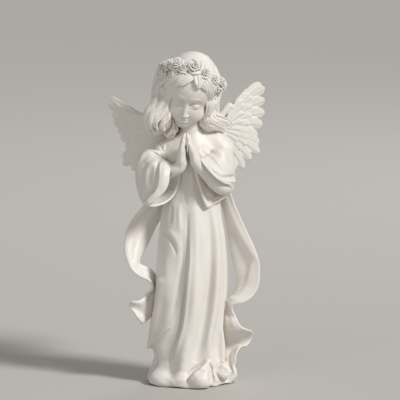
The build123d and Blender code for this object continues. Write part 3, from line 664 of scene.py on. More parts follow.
R_ROOT = ring((-14.55, 1.0, 139.78), (-0.85, -0.12, -0.5), (0, -1, 0.2), (6.0, -6.0))
R_LOOPS = [
    R_ROOT,
    [(-21.38, -9.6, 140.19), (-24.06, -8.5, 140.98), (-26.37, -5.0, 140.79), (-27.92, -0.5, 140.07), (-27.32, 4.0, 137.2), (-24.65, 7.5, 134.24), (-21.38, 9.0, 131.29), (-18.71, 8.5, 129.27), (-16.34, 6.0, 128.46), (-14.85, 1.0, 128.65), (-15.15, -4.0, 130.94), (-16.93, -8.0, 134.89), (-19.3, -10.0, 138.21)],
    [(-24.06, -9.4, 139.92), (-28.81, -9.8, 138.54), (-32.43, -9.6, 133.7), (-33.98, -9.0, 127.47), (-33.62, -10.0, 120.77), (-31.48, -9.5, 114.98), (-27.92, -8.0, 111.43), (-23.76, -4.5, 111.48), (-20.2, -1.5, 114.61), (-17.82, 0.0, 119.19), (-16.63, 0.5, 125.12), (-17.52, -1.0, 131.37), (-20.49, -5.0, 137.42)],
    [(-19.6, -15.0, 136.9), (-21.15, -20.5, 132.66), (-21.62, -22.5, 126.96), (-22.87, -23.0, 120.72), (-26.14, -22.0, 115.75), (-29.34, -19.0, 112.09), (-28.81, -14.5, 109.09), (-24.35, -9.0, 108.88), (-19.01, -5.0, 110.96), (-15.15, -3.0, 115.75), (-13.07, -3.5, 122.15), (-12.47, -6.5, 128.63), (-14.85, -11.0, 134.46)],
    [(-15.74, -18.5, 135.35), (-17.58, -23.4, 131.31), (-18.18, -25.4, 126.21), (-20.2, -26.0, 120.3), (-24.95, -25.4, 115.03), (-28.75, -23.0, 111.76), (-27.32, -18.5, 109.0), (-21.98, -13.5, 108.45), (-16.34, -9.5, 110.47), (-12.18, -7.5, 115.26), (-10.1, -7.6, 121.29), (-9.62, -10.0, 127.68), (-11.58, -14.5, 133.21)],
    [(-12.47, -19.0, 133.38), (-13.9, -23.6, 129.54), (-14.49, -25.4, 124.41), (-16.63, -26.2, 119.43), (-21.68, -26.4, 114.71), (-26.37, -25.2, 111.03), (-24.35, -21.5, 108.82), (-19.3, -17.0, 108.89), (-13.96, -13.4, 111.08), (-10.1, -11.2, 115.55), (-7.96, -10.8, 120.9), (-7.25, -12.8, 126.62), (-8.91, -16.0, 131.34)],
]
R_MARKS = [
    ([(-19.6, 136.32), (-21.03, 132.76), (-21.27, 124.44), (-23.28, 117.55), (-27.21, 114.58), (-28.87, 111.97)], [0.9, 1.15, 1.15, 0.9], [-0.8, -2.1, -2.0, -0.8]),
    ([(-18.65, 135.13), (-19.66, 131.57), (-19.84, 124.44), (-21.74, 117.31), (-25.78, 113.39), (-27.92, 111.02)], [0.9, 1.0, 1.0, 0.9], [0.3, 0.9, 0.9, 0.4]),
    ([(-32.08, 133.95), (-29.11, 138.94), (-24.35, 140.6), (-20.2, 138.7), (-16.87, 134.78)], [0.7, 0.8], [0.3, 0.6, 0.5, 0.3]), ([(-30.29, 132.76), (-27.68, 136.92), (-23.76, 138.7), (-20.2, 137.15), (-17.58, 134.54)], [0.9, 1.0], [-0.4, -1.0, -0.5]),
    ([(-25.54, 140.48), (-29.11, 137.51), (-31.48, 132.76), (-31.78, 127.41)], [1.0, 1.2], [-0.4, -0.6, -0.3]),
    ([(-20.79, 136.32), (-24.95, 136.03), (-28.21, 133.35), (-30.0, 128.6), (-30.0, 121.47)], [0.9, 1.2], [-0.5, -0.9, -0.4]),
    ([(-21.38, 133.95), (-24.65, 133.06), (-26.73, 129.79), (-27.62, 123.85), (-26.73, 117.91)], [0.9, 1.2], [0.4, 0.8, 0.4]),
    ([(-21.98, 131.57), (-24.35, 129.79), (-25.54, 125.04), (-24.95, 119.1)], [0.8, 1.0], [-0.4, -0.8, -0.4]),
    ([(-23.17, 138.1), (-26.73, 136.62), (-29.4, 133.35)], [0.9, 0.9], [0.5, 0.6, 0.3]),
    ([(-32.08, 120.28), (-30.29, 116.13), (-27.32, 113.75)], [0.9, 0.9], [-0.3, -0.5, -0.3]),
    ([(-16.63, 130.98), (-17.46, 125.04), (-19.6, 118.5)], [1.6, 1.6], [0.3, 0.5, 0.3]),
    
]
L_ROOT = ring((12.47, 1.0, 140.68), (0.85, -0.12, -0.5), (0, -1, 0.2), (6.0, 6.0))
L_LOOPS = [
    L_ROOT,
    [(9.8, -8.8, 140.18), (13.66, -10.2, 141.85), (17.23, -9.6, 142.6), (20.43, -7.0, 141.7), (22.57, -2.8, 139.11), (23.17, 2.0, 135.71), (21.09, 6.0, 132.07), (17.23, 8.0, 130.25), (13.66, 7.5, 130.03), (10.69, 4.0, 131.18), (8.91, 0.0, 133.32), (7.72, -4.0, 135.76), (8.02, -8.0, 138.19)],
    [(7.01, -16.0, 138.2), (11.29, -19.4, 136.69), (15.68, -19.8, 134.95), (20.2, -16.8, 132.43), (24.0, -11.4, 128.45), (24.95, -6.0, 122.18), (22.27, -2.0, 116.19), (17.52, -1.0, 112.73), (13.07, -3.5, 112.52), (9.21, -6.5, 116.61), (6.83, -8.0, 122.26), (5.35, -9.5, 128.51), (5.05, -13.0, 134.47)],
    [(5.23, -20.0, 137.75), (9.15, -23.8, 133.54), (13.66, -24.4, 128.82), (18.41, -21.4, 125.22), (22.57, -15.5, 122.24), (23.17, -10.0, 117.4), (19.9, -7.0, 112.48), (15.15, -7.5, 109.85), (10.39, -9.5, 109.26), (6.83, -11.4, 113.77), (4.75, -12.4, 120.25), (3.21, -13.0, 126.96), (2.61, -16.4, 134.11)],
    [(4.4, -21.0, 137.55), (8.55, -24.4, 132.67), (13.31, -25.0, 127.59), (18.06, -22.0, 123.87), (21.86, -17.0, 121.28), (21.74, -12.0, 117.12), (18.12, -9.6, 112.05), (13.07, -10.4, 108.68), (8.55, -12.6, 106.99), (5.7, -14.2, 112.17), (3.56, -15.2, 119.55), (1.54, -15.6, 126.47), (0.83, -18.0, 133.46)],
]
L_MARKS = [
    ([(8.91, 141.67), (12.47, 143.45), (17.23, 142.86)], [0.8, 1.0], [-0.5, -0.9, -0.4]),
    ([(8.32, 139.89), (11.88, 139.59), (16.04, 136.92), (19.6, 132.16)], [0.9, 1.2], [-0.5, -1.0, -0.5]),
    ([(7.72, 138.1), (11.29, 135.73), (14.85, 131.57), (17.23, 126.82)], [0.9, 1.1], [-0.4, -0.8, -0.4]),
    ([(8.91, 140.78), (13.07, 141.37), (17.82, 139.59), (21.38, 135.13)], [0.9, 1.2], [0.4, 0.8, 0.4]),
    ([(8.02, 139.0), (11.88, 137.51), (15.44, 133.95), (18.41, 128.9)], [0.9, 1.1], [0.4, 0.7, 0.4]),
    ([(18.41, 141.07), (21.38, 137.51), (22.87, 132.16)], [1.0, 1.0], [-0.4, -0.6, -0.3]),
    ([(20.79, 129.79), (23.17, 126.82), (24.06, 123.85)], [0.8, 0.8], [-0.3, -0.5, -0.3]),
    ([(5.94, 135.43), (9.5, 131.27), (14.26, 126.82), (19.6, 123.85)], [0.8, 0.8], [-0.3, -0.6, -0.3]), ([(7.13, 134.54), (11.05, 130.62), (16.04, 127.65), (20.79, 125.99)], [1.1, 1.2], [0.3, 0.5, 0.3]),
    ([(26.73, 125.99), (23.4, 125.63), (20.2, 125.39), (16.63, 126.22)], [0.9, 1.1, 0.9], [-2.2, -1.8, -0.3]), ([(25.54, 122.9), (23.17, 123.02), (20.2, 123.61)], [1.0, 1.0], [0.9, 0.8, 0.2]),
    ([(7.13, 117.91), (8.91, 113.16), (10.1, 109.59)], [0.9, 1.0], [-0.3, -0.6, -0.3]),
    ([(10.69, 116.72), (12.47, 112.56)], [0.9, 1.0], [0.4, 0.4]),
]
piece("right_sleeve_cast", smooth(sleeve(R_LOOPS, R_MARKS), 1), ["right_sleeve"], M_SLEEVE)
piece("left_sleeve_cast", smooth(sleeve(L_LOOPS, L_MARKS), 1), ["left_sleeve"], M_SLEEVE)


# ------------------------------------------------------------------ sash streamers
def streamer(A, B, n=230, ns=22, thick=1.7, bulge=((0, 0.6), (1, 0.6)), ripple=0.0, turns=6.0, ruffles=(), crease=()):
    a, b = spline(np.array(A, float), n), spline(np.array(B, float), n)
    s = np.concatenate([[0, 0.012, 0.04], np.linspace(0.09, 0.91, ns - 6), [0.96, 0.988, 1.0]])
    P = a[:, None] * (1 - s)[None, :, None] + b[:, None] * s[None, :, None]
    tt = np.linspace(0, 1, n)
    run = np.gradient((a + b) / 2, axis=0)
    face = unit(np.cross(run, b - a))
    wide = np.linalg.norm(b - a, axis=1)
    bl = np.interp(tt, [p[0] for p in bulge], [p[1] for p in bulge])
    arch = 4 * s * (1 - s)
    P = P + face[:, None] * (bl[:, None] * arch[None])[..., None]
    if ripple:
        wave = ripple * np.sin(tt[:, None] * turns * 2 * np.pi + s[None] * 1.6) * (0.25 + 0.75 * np.abs(2 * s[None] - 1) ** 1.5)
        P = P + face[:, None] * wave[..., None]
    for t0, t1, amp, cycles, phase, edge in ruffles:
        u = np.clip((tt - t0) / (t1 - t0), 0, 1)
        far = (1 - s) if edge == "a" else s
        wv = amp * np.sin(np.pi * u)[:, None] ** 0.7 * np.sin(u[:, None] * cycles * 2 * np.pi + phase + far[None] * 0.9) * (0.12 + 0.88 * far[None] ** 1.4)
        P = P + face[:, None] * wv[..., None]
    if crease:
        c0, c1, c2 = zip(*crease)
        s0, h = np.interp(tt, c0, c1)[:, None], np.interp(tt, c0, c2)[:, None]
        up = np.minimum(s[None] / s0, (1 - s[None]) / (1 - s0))
        P = P + face[:, None] * (h * np.clip(up, 0, 1) ** 1.25)[..., None]
    # long soft pleats that follow the cloth
    pleat = 0.22 * np.sin(s[None] * 2 * np.pi * 2.0 + 1.1 * np.sin(tt[:, None] * 5.0)) * np.sin(np.pi * s[None]) ** 0.5
    P = P + face[:, None] * pleat[..., None]
    N = unit(np.cross(np.gradient(P, axis=0), np.gradient(P, axis=1)))
    prof = np.clip(np.sqrt(np.maximum(1 - (2 * s - 1) ** 8, 0)), 0.05, 1)
    th = thick * prof[None, :, None] * np.interp(tt, [0, 0.02, 0.97, 1], [0.8, 1, 1, 0.5])[:, None, None]
    rings = np.concatenate([P + N * th / 2, (P - N * th / 2)[:, ::-1]], axis=1)
    return skin(rings)


R_A = [(-25.54, 6.0, 109.82), (-32.37, 5.0, 102.16), (-37.42, 3.5, 95.48), (-40.15, 1.5, 88.88), (-40.87, -1.0, 82.66), (-40.39, -4.5, 77.2), (-38.61, -8.0, 72.64), (-35.94, -10.4, 68.81), (-32.08, -10.4, 65.74), (-27.62, -8.6, 63.29), (-24.35, -6.0, 60.0), (-24.0, -5.0, 56.47), (-27.03, -5.0, 53.1), (-32.08, -6.0, 50.85), (-37.07, -7.0, 49.93), (-37.18, -7.4, 47.29), (-35.64, -7.4, 43.38), (-33.56, -6.6, 39.34)]
R_B = [(-16.04, 10.5, 106.1), (-18.41, 10.0, 98.36), (-21.98, 8.4, 92.0), (-24.71, 6.0, 86.36), (-27.32, 3.6, 81.33), (-29.94, 1.4, 77.17), (-31.72, -0.4, 73.84), (-31.6, -1.6, 71.57), (-29.11, -2.4, 70.49), (-25.54, -1.6, 68.8), (-22.33, 0.4, 65.0), (-21.15, 1.6, 59.39), (-21.15, 1.6, 53.38), (-21.62, 1.4, 47.4), (-23.17, 0.4, 41.84), (-25.3, -1.2, 38.79), (-27.92, -3.0, 36.67), (-30.89, -4.8, 35.51)]
piece("right_sash_cast", smooth(streamer(R_A, R_B, bulge=((0, 0.8), (0.35, 1.4), (0.5, -1.6), (0.62, -1.2), (0.75, 0.8), (1, 1.4)), ruffles=((0.64, 1.02, 1.9, 1.9, 2.2, "a"),)), 1),
      ["right_sash_streamer"], M_SASH)
L_A = [(21.38, 1.0, 117.22), (24.12, 2.0, 108.64), (27.92, 1.4, 99.72), (32.31, 0.4, 90.25), (36.47, -1.0, 81.46), (39.09, -2.4, 74.16), (39.8, -3.6, 66.83), (38.97, -5.6, 59.33), (36.0, -7.6, 53.63), (31.24, -9.0, 49.89), (26.37, -8.6, 48.26), (23.4, -7.6, 46.54), (23.76, -7.4, 42.78), (25.9, -8.4, 38.73), (28.87, -9.4, 36.12), (32.31, -8.6, 34.67), (34.81, -6.0, 31.49), (35.52, -3.0, 27.05), (33.86, -1.0, 23.36), (31.13, 0.0, 21.52), (27.92, -3.0, 18.63), (25.19, -5.2, 15.37), (23.76, -5.4, 11.43), (24.71, -4.4, 7.42), (25.78, -4.2, 3.18)]
L_B = [(14.26, 8.0, 110.7), (17.58, 8.4, 102.22), (19.6, 7.4, 92.75), (21.15, 6.2, 83.92), (22.81, 5.0, 75.69), (24.71, 4.0, 68.03), (25.78, 3.0, 60.98), (25.19, 2.0, 55.72), (23.52, 1.0, 52.27), (21.74, 0.0, 50.39), (19.96, -1.0, 48.74), (18.77, -1.4, 46.64), (18.06, -2.0, 43.12), (17.82, -3.0, 39.07), (18.3, -3.4, 34.33), (18.18, -2.4, 29.96), (18.41, -0.6, 25.46), (18.65, 0.6, 21.3), (18.65, 0.0, 17.79), (19.01, -1.0, 14.34), (20.43, -2.0, 11.01), (20.79, -2.2, 7.67), (21.38, -1.6, 3.97), (21.98, -0.4, 1.37)]
piece("left_sash_cast", smooth(streamer(L_A, L_B, n=320, ns=26, bulge=((0, 1.0), (0.3, 1.4), (0.4, -1.2), (0.5, 0.8), (0.62, -1.4), (0.75, 1.2), (1, 0.6)), ruffles=((0.50, 0.97, 3.0, 2.3, 0.4, "a"),), crease=((0, 0.42, -1.8), (0.09, 0.36, -2.0), (0.15, 0.22, -1.6), (0.2, 0.1, -0.8), (0.215, 0.25, -0.8), (0.25, 0.42, -2.2), (0.31, 0.5, -2.8), (0.36, 0.5, -2.0), (0.42, 0.5, -0.3), (1, 0.5, 0))), 1),
      ["left_sash_streamer"], M_SASH)


# ------------------------------------------------------------------ head, in its own frame: x to her left, -y out of the face, z to the crown
HEAD_C = np.array([-1.7, -6.0, 177.9])
HEAD_M = rot("y", 12.0) @ rot("x", 23.0)


def to_head(p):
    return (np.asarray(p, float) - HEAD_C) @ HEAD_M


def from_head(p):
    return np.asarray(p, float) @ HEAD_M.T + HEAD_C


def head():
    c = Clay((-18, -24, -34), (18, 21, 23), 0.3)
    c.ball((0, 1.5, 3.0), (14.2, 16.2, 16.4), k=0)
    c.ball((0, -5.0, -6.6), (11.3, 11.6, 13.6), k=4)
    for s in (-1, 1):
        c.ball((s * 5.6, -10.0, -10.6), (5.4, 5.0, 5.0), k=3.5)
    c.ball((0, -11.6, -17.6), (4.0, 3.6, 3.2), k=3.5)
    c.ball((0, -7.2, 3.6), (10.8, 9.6, 8.2), k=4)
    base, root = to_head((-1.4, -2.0, 149.0)), to_head((-1.6, -3.0, 160.0))
    c.rope([(0, 2.0, -12.0), root, base], [6.2, 5.6, 6.4], k=3.0)
    f = c.front
    e = 1.1  # eye line raised by this many millimetres
    for s in (-1, 1):  # sockets and closed lids
        y = f(s * 4.8, -4.4 + e)
        c.ball((s * 4.9, y - 1.5, -3.9 + e), (3.6, 2.3, 2.1), k=2.2, cut=True)
        c.ball((s * 4.7, y + 2.7, -4.75 + e), (3.2, 2.85, 2.55), k=0.45)
    for s in (-1, 1):
        t = np.linspace(0, math.pi, 13)
        lx, lz = s * (4.7 - 2.65 * np.cos(t)), -5.2 - 1.25 * np.sin(t) + e
        P = np.array([(x, f(x, z) - 0.02, z) for x, z in zip(lx, lz)])
        rim = P + np.array([0, -0.02, 0.34])
        c.rope(rim, np.interp(t, [0, 1.5, math.pi], [0.12, 0.34, 0.16]), k=0.35)
        c.rope(P, np.interp(t, [0, 1.5, math.pi], [0.14, 0.34, 0.16]), k=0.2, cut=True)
        ux, uz = s * (4.7 - 2.7 * np.cos(t)), -4.1 + 1.1 * np.sin(t) + e
        P = np.array([(x, f(x, z) + 0.08, z) for x, z in zip(ux, uz)])
        c.rope(P, 0.2, k=0.5, cut=True)
        bx = s * np.array([2.2, 3.6, 5.2, 6.9, 8.0])
        bz = np.array([0.2, 0.8, 0.95, 0.4, -0.8]) + e
        P = np.array([(x, f(x, z) + 0.42, z) for x, z in zip(bx, bz)])
        c.rope(P + np.array([0, 0.12, 0]), [0.3, 0.5, 0.6, 0.5, 0.25], k=1.3)
    n = {z: f(0, z) for z in (-2.6, -5.4, -8.0, -9.4, -10.1)}
    c.rope([(0, n[-2.6] + 1.0, -2.6), (0, n[-5.4] - 0.1, -5.4), (0, n[-8.0] - 1.0, -8.0), (0, n[-9.4] - 1.55, -9.3)], [0.9, 1.0, 1.12, 1.35], k=1.7)
    for s in (-1, 1):
        c.ball((s * 1.45, n[-10.1] - 0.55, -9.8), (0.95, 1.15, 0.85), k=0.8)
    for s in (-1, 1):
        c.ball((s * 0.72, n[-10.1] - 1.3, -10.75), (0.36, 0.5, 0.34), k=0.3, cut=True)
    ym = f(0, -13.6)
    c.ball((0, ym + 2.1, -13.4), (3.7, 2.6, 2.5), k=2.2)
    g = [(-2.75, -13.25), (-1.15, -12.85), (0, -13.05), (1.15, -12.85), (2.75, -13.25)]
    c.rope([(x, f(x, z) + 0.02, z) for x, z in g], [0.32, 0.62, 0.58, 0.62, 0.32], k=0.5)
    g = [(-2.1, -14.0), (-0.8, -14.5), (0.8, -14.5), (2.1, -14.0)]
    c.rope([(x, f(x, z) + 0.0, z) for x, z in g], [0.4, 0.78, 0.78, 0.4], k=0.5)
    g = [(-3.0, -13.35), (-1.4, -13.62), (0, -13.5), (1.4, -13.62), (3.0, -13.35)]
    c.rope([(x, f(x, z), z) for x, z in g], [0.2, 0.28, 0.26, 0.28, 0.2], k=0.2, cut=True)
    for s in (-1, 1):
        c.ball((s * 3.15, f(s * 3.15, -13.3) - 0.1, -13.3), 0.5, k=0.6, cut=True)
    c.rope([(0, f(0, -11.5) - 0.2, -11.5), (0, f(0, -12.3) - 0.25, -12.3)], 0.42, k=0.7, cut=True)
    c.ball((0, f(0, -16.1) - 0.75, -16.1), (2.0, 1.1, 0.8), k=1.2, cut=True)
    v, q, t = smooth(c.mesh(), 2)
    return from_head(v), q, t


piece("head_cast", head(), ["head_with_hair"], M_HEAD)

# ------------------------------------------------------------------ hair
CAP_C, CAP_R = np.array([0, 0.9, 2.9]), np.array([15.2, 17.7, 16.8])


def on_cap(u, v, lift=0.0):
    """Point of the hair cap that is seen at (u, v) in the front view."""
    o = np.array([u, -60.0, 0.0])
    o[2] = (v - (o[1] + 24) * SE) / CE
    d = -TO_EYE
    o2, d2 = (to_head(o) - CAP_C) / (CAP_R + lift), (d @ HEAD_M) / (CAP_R + lift)
    a, b, c = d2 @ d2, o2 @ d2, o2 @ o2 - 1
    disc = b * b - a * c
    t = (-b - math.sqrt(disc)) / a if disc > 0 else -b / a
    p = o2 + t * d2
    if disc <= 0:
        p = p / np.linalg.norm(p)
    return from_head(p * (CAP_R + lift) + CAP_C)


def ribs(P, r, flat=0.75, k=10, taper=(0.55, 1.0, 0.95, 0.3), centre=None):
    """One lock of hair: a flattened tube along P."""
    n = len(P)
    T, S = frames(P)
    if centre is not None:
        S = unit(np.cross(T, unit(P - centre)))
    U = np.cross(S, T)
    a = np.arange(k) / k * 2 * np.pi
    R = r * np.interp(np.linspace(0, 1, n), [0, 0.2, 0.7, 1], taper)
    rings = P[:, None] + R[:, None, None] * (S[:, None] * np.cos(a)[None, :, None] + U[:, None] * flat * np.sin(a)[None, :, None])
    return skin(rings)


def lock_points(cap, hang, lift):
    return np.array([on_cap(u, v, lift if i else lift - 1.8) for i, (u, v) in enumerate(cap)] + [tuple(p) for p in hang])


def bundle(P, r, centre, strands=4, flat=0.62, taper=(0.5, 1.0, 0.95, 0.22)):
    """A lock made of a flattened body with finer strands combed along its outer face."""
    T, _ = frames(P)
    o = unit(P - centre)
    side = unit(np.cross(T, o))
    up = np.cross(side, T)
    up = np.where((up * o).sum(1, keepdims=True) < 0, -up, up)
    t = np.linspace(0, 1, len(P))
    w = r * np.interp(t, [0, 0.2, 0.7, 1], taper)
    out = [ribs(P, r, flat=flat, taper=taper, centre=centre)]
    for j in range(strands):
        s = -0.78 + 1.56 * j / max(strands - 1, 1) + RNG.uniform(-0.07, 0.07)
        weave = 0.10 * np.sin(t * 7 + j * 2.1)
        q = s + weave
        lift = flat * np.sqrt(np.clip(1 - q * q, 0.05, 1)) * 0.86
        Q = P + side * (w * q)[:, None] + up * (w * lift)[:, None]
        out.append(ribs(Q, r * RNG.uniform(0.30, 0.38), flat=0.95, k=7, taper=taper, centre=centre))
    return out


def family(A, B, n, r, lift=0.7, wave=0.9, cycles=1.9, phase=0.0, strands=3, depth=0.9):
    """n locks between two guide locks, waving together."""
    ga, gb = spline(lock_points(*A, lift), 52), spline(lock_points(*B, lift), 52)
    out = []
    t = np.linspace(0, 1, 52)
    mid = from_head((0, 3, -2))
    for i in range(n):
        w = i / max(n - 1, 1)
        P = ga * (1 - w) + gb * w
        T, _ = frames(P)
        o = unit(P - mid)
        side = unit(np.cross(T, o))
        ph = phase + w * 1.1 + RNG.uniform(-0.25, 0.25)
        grow = np.clip((t - 0.25) / 0.45, 0, 1)
        P = P + side * (wave * grow * np.sin(t * cycles * 6.28 + ph))[:, None] + \
            o * (wave * 0.55 * grow * np.sin(t * cycles * 6.28 + ph + 1.2) + depth * (0.5 if i % 2 else -0.5))[:, None]
        out += bundle(P, r * RNG.uniform(0.92, 1.1), mid, strands)
    return out


WR_C, WR_R = np.array([-0.8, -5.0, 183.5]), (16.7, 17.4)
WR_M = rot("y", 13.5) @ rot("x", -26.0)


def on_ring(deg, out=0.0, up=0.0):
    a = math.radians(deg)
    return np.array([(WR_R[0] + out) * math.sin(a), -(WR_R[1] + out) * math.cos(a), up]) @ WR_M.T + WR_C


def hair():
    c = Clay((-33, -26, 138), (26, 20, 201), 0.5)
    R = HEAD_M
    c.ball(from_head(CAP_C), CAP_R + 0.35, k=0, R=R)
    c.ball(from_head(CAP_C + np.array([0, 1.4, 0.6])), CAP_R + 0.3, k=1, R=R)
    c.rope([tuple(on_ring(d, -2.4, -0.5)) for d in range(-180, 181, 12)], [2.6] * 31, k=2.5)
    c.rope([tuple(on_ring(d, -3.6, 1.7)) for d in range(-180, 181, 12)], [3.0] * 31, k=3)
    for d0 in (42, -126):
        c.rope([tuple(on_ring(d0 + 14 * i, -1.8, -3.0)) for i in range(7)], [2.2, 2.6, 2.7, 2.7, 2.7, 2.6, 2.2], k=3)
    c.ball((-11.6, -2.2, 153.6), (4.6, 4.2, 5.4), k=3)
    c.ball((-1.6, 7.4, 165.4), (15.0, 8.6, 17.5), k=4)
    c.rope([(-13.6, 4.0, 186.0), (-16.2, 4.0, 178.0), (-17.4, 3.4, 168.0), (-18.6, 2.4, 158.0), (-19.0, 1.0, 153.0)], [4.0, 4.9, 5.4, 5.9, 5.0], k=4)
    c.rope([(10.4, 4.5, 184.0), (9.6, 4.5, 175.0), (8.4, 4.5, 165.0), (8.2, 4.5, 156.0)], [4.4, 5.0, 5.0, 4.6], k=4)
    c.rope([(-14.2, -4.0, 182.0), (-16.8, -5.0, 175.0), (-18.8, -6.4, 167.5), (-21.4, -7.2, 160.5), (-22.4, -7.6, 154.6)], [4.8, 4.9, 5.2, 6.2, 5.4], k=4)
    c.rope([(-16.2, -7.4, 185.5), (-16.8, -8.6, 178.0), (-17.2, -9.0, 170.0)], [3.4, 4.2, 4.6], k=3)
    c.rope([(11.2, -1.2, 176.5), (10.8, -2.2, 169.0), (9.0, -2.0, 161.0), (9.4, -0.6, 155.0), (10.6, 0.6, 151.0)], [3.6, 3.6, 4.2, 4.2, 3.8], k=4)
    c.rope([(8.4, -0.5, 163.0), (7.6, 0.0, 156.0), (8.6, 1.0, 150.5)], [4.6, 4.8, 4.0], k=3)
    c.ball(from_head((0, -19.6, -11.0)), (11.4, 12.4, 15.0), k=1.5, R=R, cut=True)
    c.ball(from_head((0, -8, -26)), (8.5, 12, 10), k=1.5, R=R, cut=True)
    c.rope([(-10.8, -4.0, 161.0), (-11.6, -4.6, 156.0), (-13.4, -5.0, 150.6)], [3.2, 3.8, 3.6], k=2)
    parts = [smooth(c.mesh(), 1)]
    fam = [
        # her right side: fringe sweeping from the parting, cheek locks, outer waves
        family(([(1.43, 184.2), (-2.97, 182.77), (-7.13, 181.23), (-11.05, 179.45), (-14.14, 176.36)], [(-14.61, -14.0, 171.32), (-14.73, -14.0, 167.11), (-14.61, -13.4, 162.8), (-14.49, -12.4, 158.44), (-16.04, -11.6, 154.34), (-19.3, -11.0, 151.84)]),
               ([(-0.3, 187.05), (-5.94, 185.15), (-11.29, 183.25), (-15.8, 180.52), (-18.65, 176.12)], [(-19.96, -12.0, 170.4), (-20.67, -13.0, 166.35), (-20.43, -13.4, 162.2), (-20.43, -13.4, 157.99), (-21.62, -12.6, 154.26), (-24.06, -11.0, 151.3)]), 5, 1.95, wave=0.8, phase=0.4),
        family(([(-4.16, 188.3), (-10.69, 185.86), (-16.04, 183.25), (-19.6, 179.39)], [(-21.27, -9.6, 175.13), (-21.98, -10.6, 171.08), (-22.1, -11.8, 167.36), (-24.0, -12.2, 163.52), (-25.54, -12.6, 159.67), (-24.95, -12.6, 155.16), (-22.33, -12.0, 152.0)]),
               ([(-12.47, 191.56), (-17.82, 188.59), (-20.67, 184.2)], [(-21.38, -3.0, 178.6), (-21.98, -3.0, 173.18), (-22.33, -4.0, 168.23), (-25.07, -5.0, 163.88), (-27.32, -5.5, 159.75), (-27.32, -6.0, 155.02), (-25.07, -7.0, 151.21)]), 5, 2.1, wave=1.0, phase=1.4),
        family(([(-13.07, 193.64), (-18.06, 189.78)], [(-20.91, 4.0, 181.7), (-22.22, 6.0, 174.77), (-22.69, 6.0, 168.15), (-24.35, 5.0, 161.69), (-26.14, 4.0, 155.84), (-26.14, 3.0, 150.58)]),
               ([], [(-11.88, 4.0, 193.73), (-16.39, 6.4, 188.54), (-18.53, 8.6, 181.57), (-19.36, 10.4, 172.87), (-20.2, 11.0, 164.35), (-21.5, 10.6, 156.0), (-21.15, 9.0, 148.43)]), 5, 2.2, wave=0.9, phase=0.6),
        family(([], [(-12.47, -2.0, 191.67), (-17.82, -1.0, 187.3), (-20.67, 0.0, 182.33), (-21.74, 0.0, 175.72), (-22.33, 0.0, 169.1), (-24.83, -1.0, 162.64), (-26.97, -2.0, 157.39), (-26.85, -3.0, 152.14)]),
               ([], [(-12.71, 3.0, 192.08), (-17.58, 4.0, 187.71), (-20.55, 5.0, 181.54), (-21.98, 6.0, 174.77), (-22.57, 6.0, 168.15), (-24.35, 5.0, 161.69), (-26.14, 4.0, 155.84), (-26.14, 3.0, 150.58)]), 4, 2.2, wave=0.9, phase=0.2),
        # her left side
        family(([(1.43, 183.84), (4.51, 182.66), (7.48, 179.45), (9.39, 175.53)], [(9.86, -13.6, 171.86), (9.27, -13.8, 167.68), (7.72, -12.4, 163.49), (5.94, -10.4, 159.92)]),
               ([(2.38, 187.41), (7.72, 185.03), (11.29, 181.47), (12.83, 177.31)], [(12.0, -10.4, 173.15), (12.36, -11.0, 169.28), (11.29, -10.4, 164.97), (9.86, -8.0, 160.38)]), 5, 1.7, wave=0.6, phase=0.9),
        family(([(7.72, 188.59), (12.12, 184.67), (13.9, 180.28)], [(13.42, -7.0, 175.98), (11.76, -9.0, 172.93), (12.47, -10.0, 169.72), (11.29, -10.6, 166.93), (9.27, -11.0, 166.27)]),
               ([(10.1, 191.56), (13.54, 186.81), (14.85, 181.82)], [(14.26, -1.0, 175.88), (12.12, -2.0, 172.43), (13.19, -2.6, 168.91), (12.83, -3.0, 165.37), (12.12, -3.0, 161.16), (12.47, -1.0, 156.63)]), 4, 1.7, wave=0.6, phase=0.2),
        family(([(9.5, 193.35), (13.31, 188.24)], [(14.26, 5.0, 180.34), (13.07, 6.0, 174.17), (12.12, 6.5, 169.27), (12.47, 6.5, 163.86), (11.64, 6.0, 158.53), (11.29, 5.0, 153.88)]),
               ([], [(7.72, 3.4, 195.02), (11.29, 6.4, 188.54), (12.71, 9.0, 180.31), (11.88, 10.6, 171.63), (10.93, 11.4, 163.09), (9.74, 11.0, 155.33), (8.91, 10.0, 148.87)]), 4, 1.9, wave=0.7, phase=1.8),
        family(([], [(9.5, -3.0, 190.63), (13.42, -3.0, 185.81), (15.09, -3.0, 180.4), (15.21, -3.0, 174.99), (14.26, -3.4, 170.84), (13.9, -3.6, 165.46), (13.07, -3.0, 160.56), (12.83, -2.0, 156.19)]),
               ([], [(9.5, 4.0, 190.72), (12.83, 4.0, 185.91), (14.61, 4.0, 180.5), (14.49, 4.0, 174.48), (13.9, 4.0, 169.67), (13.42, 4.0, 164.26), (12.47, 4.0, 158.85), (11.88, 3.6, 154.1)]), 4, 2.0, wave=0.7, phase=0.5),
        family(([], [(8.91, -8.0, 164.96), (9.27, -9.0, 161.14), (11.88, -8.6, 158.19), (16.04, -6.0, 156.46), (20.55, -1.4, 154.05), (22.33, -0.6, 151.15)]),
               ([], [(12.24, -6.0, 165.84), (13.19, -7.0, 162.03), (16.28, -6.0, 159.83), (20.2, -2.4, 157.69), (22.81, 1.4, 154.69), (23.76, 2.0, 151.58)]), 3, 1.7, wave=0.55, phase=0.8, cycles=1.4, strands=2),
    ]
    for f in fam:
        parts += f
    mid = np.array([-2.0, -1.0, 172.0])
